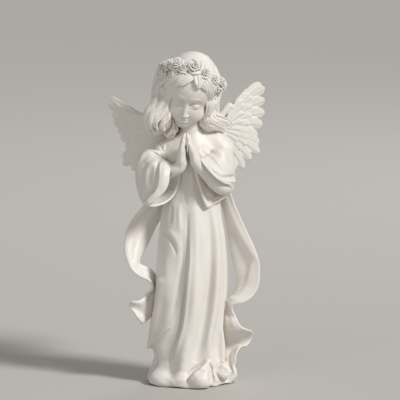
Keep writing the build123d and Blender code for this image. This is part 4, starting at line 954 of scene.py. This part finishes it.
    # back of the head: long fall from the crown
    for i in range(13):
        x = -16.5 + i * 2.6
        w = (x + 1.2) / 16.5
        top = from_head(CAP_C + (CAP_R + 0.3) * unit(np.array([w * 0.75, 0.30, 0.95])))
        P = np.array([top, from_head(CAP_C + (CAP_R + 0.45) * unit(np.array([w, 0.95, 0.55]))),
                      (x * 1.05 - 1.0, 14.6 - 6 * w * w, 178.4), (x * 0.98 - 0.8, 15.4 - 5.5 * w * w, 168.6),
                      (x * 0.92 - 0.8, 14.8 - 5 * w * w, 159.0), (x * 0.9 - 0.8, 13.0 - 4.5 * w * w, 150.6 + 2.2 * math.sin(i * 2.1)),
                      (x * 0.92 - 0.8, 14.0 - 4.5 * w * w, 147.6 + 2.0 * math.sin(i * 2.1))])
        P = spline(P, 52)
        t = np.linspace(0, 1, 52)
        P[:, 0] += 1.0 * np.sin(t * 13 + i * 0.5) * t
        P[:, 1] += 0.6 * np.sin(t * 13 + i * 0.5 + 1.2) * t
        parts += bundle(P, 2.15, np.array([-1.0, -2.0, 176.0]), 5)
    # crown: fine combed locks from the parting to the wreath
    for i in range(26):
        a = i / 26 * 2 * math.pi
        d = np.array([math.sin(a), -math.cos(a) * 0.9, 0.0])
        ring_pts = []
        for s in (0.10, 0.30, 0.52, 0.72, 0.90):
            p = unit(np.array([d[0] * s, d[1] * s + 0.18, math.sqrt(max(1 - s * s, 0.02))]))
            ring_pts.append(from_head(CAP_C + (CAP_R + 0.5) * p))
        P = spline(np.array(ring_pts), 22)
        parts.append(ribs(P, 1.35, flat=0.5, taper=(0.3, 1.0, 1.1, 0.9), centre=from_head(CAP_C)))
    # larger curls over the waves, and the pointed locks of the fringe
    curls = [
        ([(-13.37, -7.6, 163.69), (-12.47, -8.6, 159.64), (-11.76, -9.2, 155.82), (-12.71, -9.8, 152.25), (-14.85, -9.8, 149.6)], 2.0, 4),
        ([(-11.05, -7.2, 161.22), (-9.98, -8.0, 157.38), (-9.98, -8.8, 153.66), (-11.4, -9.4, 150.38)], 1.8, 4),
        ([(-18.77, -11.0, 176.26), (-21.15, -11.8, 172.17), (-23.4, -12.6, 168.09), (-26.14, -12.6, 164.72), (-27.56, -12.2, 160.81), (-27.44, -12.0, 156.57), (-25.78, -11.6, 152.9), (-23.52, -10.6, 150.33)], 2.4, 5),
        ([(-16.04, -13.6, 174.86), (-18.06, -14.2, 170.15), (-20.79, -14.8, 166.27), (-23.88, -15.0, 163.06), (-25.19, -14.8, 159.42), (-24.59, -14.0, 155.44), (-22.33, -13.0, 152.16)], 2.3, 5),
        ([(-14.61, -14.6, 170.21), (-16.04, -15.2, 165.73), (-18.77, -15.8, 162.58), (-21.38, -16.0, 159.85), (-21.98, -15.4, 156.5), (-20.2, -14.0, 153.28)], 2.1, 4),
        ([(-13.78, -14.4, 165.37), (-14.73, -15.0, 161.25), (-17.23, -15.2, 158.28), (-18.18, -14.6, 155.42), (-16.63, -13.2, 152.79)], 1.9, 4),
                ([(-13.66, -16.4, 184.09), (-17.11, -14.4, 182.45), (-19.96, -11.4, 179.57), (-21.03, -10.4, 176.16), (-20.31, -11.4, 173.07), (-21.38, -12.0, 169.8)], 1.8, 4),
        ([(10.1, -13.0, 175.73), (12.47, -10.6, 173.79), (13.9, -9.4, 171.19), (12.95, -10.6, 168.74), (10.45, -12.0, 168.24), (8.91, -13.0, 170.56), (9.74, -13.2, 172.76)], 1.5, 3),
        ([(12.24, -9.8, 183.88), (14.26, -7.6, 180.77), (14.97, -6.6, 177.12), (12.83, -9.0, 174.98), (10.93, -11.0, 175.17)], 1.5, 3),
        ([(6.89, -8.6, 165.05), (7.48, -8.6, 161.44), (9.86, -8.6, 158.07), (13.66, -7.0, 155.9), (17.58, -3.6, 153.79), (19.6, -2.0, 151.14)], 2.2, 4),
        ([(5.35, -7.4, 163.06), (5.94, -7.4, 159.09), (8.32, -7.6, 155.87), (11.88, -7.0, 154.09), (15.8, -4.6, 152.27)], 2.1, 4),
        ([(4.51, -6.4, 159.89), (5.58, -6.6, 156.31), (8.08, -7.0, 153.61), (11.64, -6.4, 152.07)], 1.8, 3),
    ]
    for pts, r, k in curls:
        parts += bundle(spline(np.array(pts), 56), r, mid, k, flat=0.7, taper=(0.45, 1.0, 0.9, 0.35))
    hc = from_head(CAP_C)
    for cap, r, lift in [([(2.14, 187.41), (2.97, 183.84), (3.56, 180.52), (3.56, 177.31)], 2.5, 0.7), ([(3.56, 186.22), (6.42, 184.08), (9.39, 181.23), (11.64, 177.31)], 2.2, 0.9), ([(3.21, 185.03), (5.46, 182.66), (7.72, 180.28), (9.86, 177.01)], 2.0, 0.6), ([(2.85, 183.84), (4.63, 181.35), (6.65, 178.97), (8.79, 175.88)], 1.7, 0.4),
                         ([(0.0, 185.86), (-3.56, 183.61), (-7.37, 181.82), (-11.29, 179.33)], 1.8, 1.3), ([(4.75, 186.81), (9.15, 184.08), (11.88, 180.28), (12.71, 175.76)], 1.8, 1.4),
                         ([(-2.97, 186.58), (-8.55, 184.44), (-13.42, 181.7), (-16.99, 177.67)], 1.8, 1.3), ([(6.53, 187.64), (10.93, 184.44), (13.42, 179.8), (13.9, 174.93)], 1.6, 1.3),
                         ([(0.59, 184.44), (-2.38, 182.3), (-5.94, 180.64), (-9.5, 179.09)], 1.5, 1.1), ([(-7.72, 187.64), (-13.66, 185.03), (-17.82, 181.7), (-19.96, 177.9)], 1.7, 1.3)]:
        P = spline(np.array([on_cap(u, v, lift + 0.4 * j) for j, (u, v) in enumerate(cap)]), 36)
        parts += bundle(P, r, hc, 3, flat=0.55, taper=(0.8, 1.0, 0.95, 0.3))
    return smooth(fuse(parts, 0.3), 1, 0.35)


piece("hair_cast", hair(), ["head_with_hair"], M_HAIR)

# ------------------------------------------------------------------ wreath
def shell(P, thick):
    """A closed leaf of given thickness on a grid of points."""
    N = unit(np.cross(np.gradient(P, axis=0), np.gradient(P, axis=1)))
    n, k = P.shape[:2]
    s = np.linspace(-1, 1, k)
    th = thick * np.clip(np.sqrt(1 - np.abs(s) ** 6), 0.12, 1)[None, :, None] * np.interp(np.linspace(0, 1, n), [0, 0.9, 1], [1, 1, 0.35])[:, None, None]
    return skin(np.concatenate([P + N * th / 2, (P - N * th / 2)[:, ::-1]], axis=1))


def rose(r, spin):
    parts = []
    s = np.linspace(-1, 1, 11)[None, :]
    t = np.linspace(0, 1, 9)[:, None]
    for n, rin, rout, h, curl, wide in [(3, 0.06, 0.24, 1.02, 0.0, 72), (4, 0.16, 0.46, 0.94, 0.06, 60), (5, 0.28, 0.74, 0.74, 0.14, 48), (5, 0.36, 1.02, 0.46, 0.20, 46)]:
        for i in range(n):
            f0 = 360.0 / n * i + spin + n * 17 + RNG.uniform(-12, 12)
            f = np.radians(f0 + s * wide)
            grow, rise = RNG.uniform(0.86, 1.08), RNG.uniform(-0.08, 0.10)
            rho = (rin + (rout * grow - rin) * t ** 0.8 + 0.12 * s * t + 0.05 * np.sin(s * 3 + i) * t) * r
            z = (h + rise) * np.sin(np.pi / 2 * np.minimum(t * 1.08, 1.0)) - curl * np.maximum(t - 0.72, 0) ** 1.2 * 4 - 0.30 * s ** 2 * t
            P = np.stack([rho * np.cos(f), rho * np.sin(f), z * r + 0 * f], -1)
            parts.append(shell(P, 0.14 * r * 0.8))
    # solid heart so that nothing shows between the petals
    a = np.arange(16) / 16 * 2 * np.pi
    rings = [np.stack([R * r * np.cos(a), R * r * np.sin(a), np.full(16, z * r)], -1) for R, z in ((0.55, -0.35), (0.72, 0.0), (0.5, 0.38), (0.2, 0.72))]
    parts.append(skin(np.array(rings)))
    return join(parts)


def leaf(length, half, spin):
    t = np.linspace(0, 1, 13)[:, None]
    s = np.linspace(-1, 1, 11)[None, :]
    w = half * np.sin(np.pi * np.clip(t, 0.03, 0.985)) ** 0.75
    P = np.stack([s * w + 0 * t, t * length + 0 * s, 0.22 * length * t * (1 - t) * 2 + np.abs(s) * w * 0.42 + 0.10 * np.sin(t * 16) * np.abs(s)], -1)
    return shell(P, 0.42)


def seat(m, deg, out, up, tip, face=8.0, turn=0.0):
    """Place a flower or leaf modelled with +Z as its face on the ring."""
    look = math.copysign(np.interp(abs(deg), [0, 60, 100, 150, 180], [0, 36, 68, 136, 180]), deg)
    M = rot("z", look) @ rot("x", 90.0 - face) @ rot("z", turn)
    v, q, t = m
    if tip:
        M = rot("z", deg) @ rot("x", tip) @ rot("z", turn)
    return v @ (WR_M @ M).T + on_ring(deg, out, up), q, t


LARGE = [(-1, 5.0, 0.4), (-36, 4.5, 0.3), (-74, 4.3, -0.2), (66, 4.2, -1.6), (112, 4.2, 0), (163, 4.3, 0), (-151, 4.3, 0)]
SMALL = [(-20, 3.7, -1.4), (-55, 3.5, 0.6), (21, 3.7, -1.2), (43, 3.8, -2.4), (88, 3.5, -0.8), (138, 3.5, 0), (-173, 3.4, 0), (-128, 3.5, 0), (-100, 3.4, 0.4)]
piece("wreath_roses_large", join([seat(rose(r, d * 1.7), d, 0.9, u, 0) for d, r, u in LARGE]), ["wreath_large_roses"], M_WREATH)
piece("wreath_roses_small", join([seat(rose(r, d * 2.3), d, 1.2, u, 0) for d, r, u in SMALL]), ["wreath_small_roses"], M_WREATH)
lv = []
for i in range(30):
    d = -180 + i * 12 + RNG.uniform(-3, 3)
    below = i % 2 == 0
    lv.append(seat(leaf(RNG.uniform(5.4, 6.8), RNG.uniform(1.6, 2.0), 0), d, 0.7, -1.8 if below else 0.8, 84.0 if below else 44.0, turn=(180 if below else 0) + RNG.uniform(-34, 34)))
piece("wreath_leaf_sprays", join(lv), ["wreath_leaves"], M_WREATH)
vine = []
for k in range(3):
    a = np.linspace(0, 2 * np.pi, 260, endpoint=False)
    ph = a * 13 + k * 2.094
    P = np.array([on_ring(math.degrees(x), -0.2 + 0.55 * math.cos(p), 0.55 * math.sin(p)) for x, p in zip(a, ph)])
    T = unit(np.roll(P, -1, 0) - np.roll(P, 1, 0))
    o = unit(P - WR_C)
    S = unit(np.cross(T, o))
    U = np.cross(S, T)
    g = np.arange(8) / 8 * 2 * np.pi
    rings = P[:, None] + 0.62 * (S[:, None] * np.cos(g)[None, :, None] + U[:, None] * np.sin(g)[None, :, None])
    n, kk = rings.shape[:2]
    i, j = np.meshgrid(np.arange(n), np.arange(kk), indexing="ij")
    q = np.stack([i * kk + j, i * kk + (j + 1) % kk, ((i + 1) % n) * kk + (j + 1) % kk, ((i + 1) % n) * kk + j], -1).reshape(-1, 4)
    vine.append(outward((rings.reshape(-1, 3), q, NO_T)))
piece("wreath_vine", join(vine), ["wreath_band"], M_WREATH)


# ------------------------------------------------------------------ hands
def hand(side):
    right = side < 0
    arm = [(-21.5, -7.5, 127.2), (-15.5, -15.0, 128.8), (-10.8, -18.6, 130.6), (-7.8, -19.9, 132.2), (-6.3, -20.1, 134.6)] if right else \
        [(19.5, -8.5, 118.8), (17.0, -13.0, 119.8), (13.0, -15.8, 123.2), (8.6, -17.4, 128.2), (4.4, -18.8, 132.4), (1.8, -19.8, 135.2)]
    rad = [4.4, 4.2, 3.8, 3.4, 3.1] if right else [4.6, 4.9, 4.8, 4.3, 3.6, 3.1]
    lo = (-28, -27, 118) if right else (-5, -27, 110)
    hi = (1.5, -1, 156) if right else (25, -1, 156)
    c = Clay(lo, hi, 0.3)
    c.rope(spline(np.array(arm), 16), np.interp(np.linspace(0, 1, 16), np.linspace(0, 1, len(rad)), rad), k=0)
    s = side
    X = (lambda z: np.interp(z, [134, 138, 142.8, 148.0, 151.6], [-6.7, -6.6, -6.5, -5.75, -4.75])) if right else \
        (lambda z: np.interp(z, [134, 138.6, 142.8, 147.2, 151.6], [1.8, 0.85, -0.5, -2.0, -3.2]))
    c.ball((X(137.4), -20.5, 137.4), (2.75, 4.6, 4.8), k=2.0, R=rot("y", -6 * s))
    c.ball((X(141.6), -20.9, 141.6), (2.5, 4.7, 4.4), k=1.5, R=rot("y", -10 * s))
    c.ball((X(136.0) + 0.3 * s, -17.4, 136.4), (1.9, 2.2, 3.2), k=1.5)
    tips = [(-17.2, -18.5, 150.3, 1.45), (-19.5, -20.3, 151.7, 1.52), (-21.9, -22.1, 151.0, 1.48), (-24.1, -23.7, 148.4, 1.32)]
    for y0, y1, zt, r in tips:
        P = np.array([(X(142.5), y0, 142.6), (X(145.6), (y0 * 2 + y1) / 3, 145.6), (X(148.6), (y0 + 2 * y1) / 3, min(148.8, zt - 1.6)), (X(zt), y1, zt)])
        c.rope(spline(P, 9), np.interp(np.linspace(0, 1, 9), [0, 0.35, 0.5, 0.9, 1], [r * 1.28, r * 1.16, r * 1.08, r * 0.82, r * 0.62]), k=0.3)
    th = np.array([(-5.3, -16.6, 136.4), (-5.1, -15.8, 140.0), (-4.95, -16.0, 143.2), (-4.9, -16.8, 146.0)] if right else [(-0.9, -16.6, 136.4), (-1.2, -15.8, 140.0), (-1.55, -16.0, 143.2), (-1.8, -16.8, 146.0)])
    c.rope(spline(th, 9), np.interp(np.linspace(0, 1, 9), [0, 0.5, 0.75, 1], [1.8, 1.45, 1.4, 0.95]), k=0.7)
    return smooth(c.mesh(), 2)


piece("right_hand_cast", hand(-1), ["right_hand"], M_SKIN)
piece("left_hand_cast", hand(1), ["left_hand"], M_SKIN)


# ------------------------------------------------------------------ wings
def feather(B, T, half, N, thick=0.95, tilt=9.0, bow=0.06, barbs=0.13, n=60, k=15, tip=5.0):
    B, T = np.array(B, float), np.array(T, float)
    L = np.linalg.norm(T - B)
    ax = (T - B) / L
    N = unit(np.array(N, float) - ax * np.dot(N, ax))
    S = np.cross(N, ax)
    ca, sa = math.cos(math.radians(tilt)), math.sin(math.radians(tilt))
    S2, N2 = S * ca + N * sa, N * ca - S * sa
    t = np.linspace(0, 1, n)[:, None]
    s = np.linspace(-1, 1, k)[None, :]
    w = half * np.interp(t, [0, 0.12, 0.45, 0.8, 1], [0.45, 0.75, 1.0, 0.98, 0.9]) * np.sqrt(np.clip(1 - np.clip((t - 0.80) / 0.20, 0, 1) ** 2.2, 0.0, 1)) + 0.02
    curve = bow * L * 4 * t * (1 - t)
    d = np.abs(s)
    barb = barbs * np.sin((t * L - d * w * 0.9) * 2 * np.pi / 1.5 + (s > 0) * 1.2) * np.clip(d * 4, 0, 1) * np.clip((1 - d) * 5, 0, 1)
    ridge = 0.42 * np.exp(-(s * w / 0.42) ** 2) * (1 - 0.6 * t)
    body = thick * 0.5 * np.clip(1 - d ** 3, 0.12, 1) * (1 - 0.35 * t)
    bend = -0.035 * L * (t ** 2) * 0 + 0.5 * d ** 2 * -0.35
    mid = B + ax * (t * L)[..., None] + S2 * (s * w + curve * 0)[..., None] + S * (curve * 0.5 + 0 * s)[..., None] + N2 * (bend + 0 * t)[..., None]
    up = mid + N2 * (body + ridge + barb)[..., None]
    dn = mid - N2 * (body + ridge * 0.8 + barb)[..., None]
    return skin(np.concatenate([up, dn[:, ::-1]], axis=1))


def wing(sign, prim, sec, les, arm, arm_r, slope, tilt):
    N = unit(np.array([sign * slope, -1.0, 0.0]))  # out of the wing's front
    parts = []
    for i, (B, T, w) in enumerate(prim):
        parts.append(feather(B + N * 0.0, T, w, N, tilt=tilt * sign))
    for row, lift, thick in ((sec, 1.0, 0.9), (les, 1.9, 0.9)):
        for f in (1, -1):
            for B, T, w in row:
                parts.append(feather(np.array(B) + N * lift * f, np.array(T) + N * lift * f * 0.55, w, N, thick=thick, tilt=tilt * sign * f, barbs=0.10, n=40, k=13))
    P = spline(np.array(arm, float), 40)
    parts.append(ribs(P, 1.0, flat=0.8, k=16, taper=(1, 1, 1, 1)) if False else tube(P, np.interp(np.linspace(0, 1, 40), np.linspace(0, 1, len(arm_r)), arm_r)))
    # fleshy root that holds both pins
    for pts, r in (([(9.2, 7.2, 139.2), (12.6, 13.2, 139.8)], 2.6), ([(9.2, 7.2, 149.2), (12.6, 13.2, 149.9)], 2.8),
                   ([(11.6, 11.0, 152.0), (11.5, 10.8, 146.0), (11.5, 10.8, 140.0), (12.2, 12.2, 136.4)], 3.7),
                   ([(11.6, 11.2, 146.5), (15.5, 12.8, 146.8), (20.0, 14.4, 147.2)], 3.0), ([(11.8, 11.4, 140.6), (15.5, 12.8, 142.6), (19.0, 14.0, 144.4)], 2.4)):
        Q = spline(np.array([(sign * x, y, z) for x, y, z in pts]), 16)
        parts.append(tube(Q, r * np.sqrt(np.clip(1 - np.abs(np.linspace(-1, 1, 16)) ** 6 * 0.85, 0, 1)), flat=0.95))
    return smooth(fuse(parts, 0.3), 1, 0.35)


def tube(P, R, k=18, flat=0.8):
    T, S = frames(P)
    U = np.cross(S, T)
    a = np.arange(k) / k * 2 * np.pi
    return skin(P[:, None] + R[:, None, None] * (S[:, None] * np.cos(a)[None, :, None] + U[:, None] * flat * np.sin(a)[None, :, None]))


def fan(roots, tips, widths):
    return [(np.array(b, float), np.array(t, float), w) for b, t, w in zip(roots, tips, widths)]


def between(feathers, share, root_back, n, width, hub):
    """A shorter row of coverts over the fan: their tips at a share of the way out."""
    hub = np.array(hub, float)
    T = np.array([f[1] for f in feathers])
    B = np.array([f[0] for f in feathers])
    w = np.linspace(0, len(T) - 1, n)
    Ti = np.stack([np.interp(w, np.arange(len(T)), T[:, a]) for a in range(3)], -1)
    Bi = np.stack([np.interp(w, np.arange(len(T)), B[:, a]) for a in range(3)], -1)
    out = []
    for b, t in zip(Bi, Ti):
        end = b + (t - b) * share
        start = b + (hub - b) * root_back
        out.append((start, end, width))
    return out


L_TIPS = [(40.6, 23.6, 176.4), (43.0, 24.6, 173.6), (43.0, 24.5, 166.2), (42.9, 24.5, 158.6), (41.6, 23.8, 151.4), (38.6, 22.4, 145.2), (39.6, 22.8, 140.2), (39.8, 22.8, 134.6), (34.6, 20.4, 130.8), (30.2, 18.1, 126.0), (25.0, 15.6, 125.2), (19.5, 14.0, 127.0)]
L_ROOTS = [(24.6, 15.4, 163.4), (24.6, 15.4, 162.0), (24.2, 15.2, 159.4), (23.8, 15.1, 156.4), (23.2, 14.9, 153.6), (22.6, 14.6, 151.0), (21.8, 14.4, 149.0), (20.8, 14.2, 147.0), (19.8, 13.9, 145.6), (18.6, 13.6, 144.6), (17.2, 13.3, 144.0), (15.6, 13.0, 143.6)]
L_F = fan(L_ROOTS, L_TIPS, [3.4, 3.9, 3.9, 3.9, 3.8, 3.1, 3.4, 3.4, 3.3, 3.2, 3.2, 3.0])
R_TIPS = [(-49.6, 27.8, 167.0), (-51.0, 28.5, 164.2), (-48.6, 27.2, 157.4), (-47.4, 26.6, 152.2), (-45.0, 25.4, 147.4), (-43.2, 24.5, 142.6), (-40.4, 23.2, 137.6), (-42.0, 24.0, 131.0), (-41.8, 23.9, 127.0), (-36.6, 21.2, 124.4), (-31.0, 18.6, 123.8), (-25.0, 15.8, 125.0)]
R_ROOTS = [(-31.0, 18.4, 156.6), (-30.6, 18.2, 155.4), (-29.6, 17.8, 153.6), (-28.6, 17.3, 151.8), (-27.6, 16.9, 150.2), (-26.4, 16.4, 148.8), (-25.2, 15.9, 147.6), (-24.0, 15.4, 146.6), (-22.6, 14.9, 145.8), (-21.0, 14.4, 145.0), (-19.2, 13.9, 144.4), (-17.4, 13.4, 144.0)]
R_F = fan(R_ROOTS, R_TIPS, [3.0, 3.6, 3.6, 3.5, 3.4, 3.3, 3.3, 3.4, 3.4, 3.3, 3.3, 3.1])
piece("left_wing_cast", wing(1, L_F, between(L_F, 0.56, 0.35, 12, 2.7, (15.0, 12.8, 150.0)), between(L_F, 0.30, 0.6, 10, 2.0, (15.0, 12.8, 150.0)),
      [(9.0, 8.5, 147.0), (13.0, 11.2, 154.6), (17.6, 12.8, 159.8), (21.4, 14.4, 164.0), (24.8, 15.8, 163.0), (31.0, 18.6, 168.8), (38.6, 22.4, 175.2)],
      [4.6, 3.6, 2.7, 2.5, 1.5, 1.2, 0.6], 0.5, 9.0), ["left_wing"], M_WING)
piece("right_wing_cast", wing(-1, R_F, between(R_F, 0.56, 0.35, 12, 2.6, (-16.0, 13.0, 149.0)), between(R_F, 0.30, 0.6, 10, 2.0, (-16.0, 13.0, 149.0)),
      [(-10.0, 8.5, 146.0), (-15.0, 11.6, 152.0), (-22.0, 14.6, 155.6), (-29.0, 17.4, 157.2), (-36.5, 21.2, 158.8), (-42.5, 24.4, 161.6), (-48.0, 27.2, 166.0)],
      [5.0, 4.0, 3.2, 2.6, 2.0, 1.4, 0.7], 0.55, 9.0), ["right_wing"], M_WING)


# ------------------------------------------------------------------ base, table, camera and light
def plain(name, color, rough, grain=300.0, bump=0.2, metal=0.0):
    m = bpy.data.materials.new(name)
    m.use_nodes = True
    nt = m.node_tree
    bs = nt.nodes["Principled BSDF"]
    co = nt.nodes.new("ShaderNodeTexCoord")
    n = nt.nodes.new("ShaderNodeTexNoise")
    n.inputs["Scale"].default_value = grain
    nt.links.new(co.outputs["Object"], n.inputs["Vector"])
    r = nt.nodes.new("ShaderNodeValToRGB")
    r.color_ramp.elements[0].color = (*[c * 0.9 for c in color], 1)
    r.color_ramp.elements[1].color = (*[min(c * 1.06, 0.95) for c in color], 1)
    nt.links.new(n.outputs["Fac"], r.inputs[0])
    nt.links.new(r.outputs[0], bs.inputs["Base Color"])
    bs.inputs["Roughness"].default_value = rough
    bs.inputs["Metallic"].default_value = metal
    b = nt.nodes.new("ShaderNodeBump")
    b.inputs["Strength"].default_value = bump
    b.inputs["Distance"].default_value = 0.0002
    nt.links.new(n.outputs["Fac"], b.inputs["Height"])
    nt.links.new(b.outputs[0], bs.inputs["Normal"])
    return m


M_FELT = plain("felt", (0.62, 0.60, 0.56), 0.95, 1400.0, 0.7)
M_PLUG = plain("plug", (0.66, 0.64, 0.60), 0.7)
M_STEEL = plain("steel", (0.55, 0.55, 0.56), 0.35, 900.0, 0.1, 1.0)
for node, mat in (("felt_pad", M_FELT), ("base_plug", M_PLUG), ("neck_dowel", M_STEEL), ("shoulder_dowels", M_STEEL),
                  ("elbow_dowels", M_STEEL), ("right_wing_dowels", M_STEEL), ("left_wing_dowels", M_STEEL), ("sash_dowels", M_STEEL)):
    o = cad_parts[node]
    o.data.materials.clear()
    o.data.materials.append(mat)

bpy.ops.mesh.primitive_plane_add(size=60.0, location=(0, 0, 0))
floor = bpy.context.active_object
floor.name = "floor"
fm = bpy.data.materials.new("floor")
fm.use_nodes = True
fb = fm.node_tree.nodes["Principled BSDF"]
fb.inputs["Base Color"].default_value = (0.50, 0.485, 0.465, 1)
fb.inputs["Roughness"].default_value = 0.85
floor.data.materials.append(fm)

cam = bpy.data.objects.new("cam", bpy.data.cameras.new("cam"))
bpy.context.scene.collection.objects.link(cam)
bpy.context.scene.camera = cam
target = Vector((0.0042, 0.0, 0.1096))
cam.location = target + Vector((0, -CE, SE)) * 2.8
cam.rotation_mode = "QUATERNION"
cam.rotation_quaternion = (target - cam.location).to_track_quat("-Z", "Y")
cam.data.sensor_width = 36.0
cam.data.lens = 36.0 * 2.8 / 0.2376
cam.data.clip_start, cam.data.clip_end = 0.05, 120


def lamp(name, loc, size, power, color=(1, 1, 1), at=(0, 0, 0.10)):
    d = bpy.data.lights.new(name, "AREA")
    d.size = size
    d.energy = power
    d.color = color
    o = bpy.data.objects.new(name, d)
    bpy.context.scene.collection.objects.link(o)
    o.location = loc
    o.rotation_mode = "QUATERNION"
    o.rotation_quaternion = (Vector(at) - Vector(loc)).to_track_quat("-Z", "Y")
    return o


sun = bpy.data.lights.new("key", "SUN")
sun.energy, sun.angle, sun.color = 2.75, math.radians(13.0), (1.0, 0.98, 0.95)
so = bpy.data.objects.new("key", sun)
bpy.context.scene.collection.objects.link(so)
so.rotation_mode = "QUATERNION"
so.rotation_quaternion = Vector((-0.80, 0.62, -0.82)).to_track_quat("-Z", "Y")
lamp("fill", (-0.7, -1.2, 0.55), 1.0, 3.6, (1.0, 0.96, 0.92))
lamp("rim", (0.35, 0.9, 0.8), 0.5, 2.0)
w = bpy.data.worlds.new("world")
bpy.context.scene.world = w
w.use_nodes = True
w.node_tree.nodes["Background"].inputs[0].default_value = (0.82, 0.80, 0.78, 1)
w.node_tree.nodes["Background"].inputs[1].default_value = 0.32
bpy.context.scene.view_settings.view_transform = "Standard"
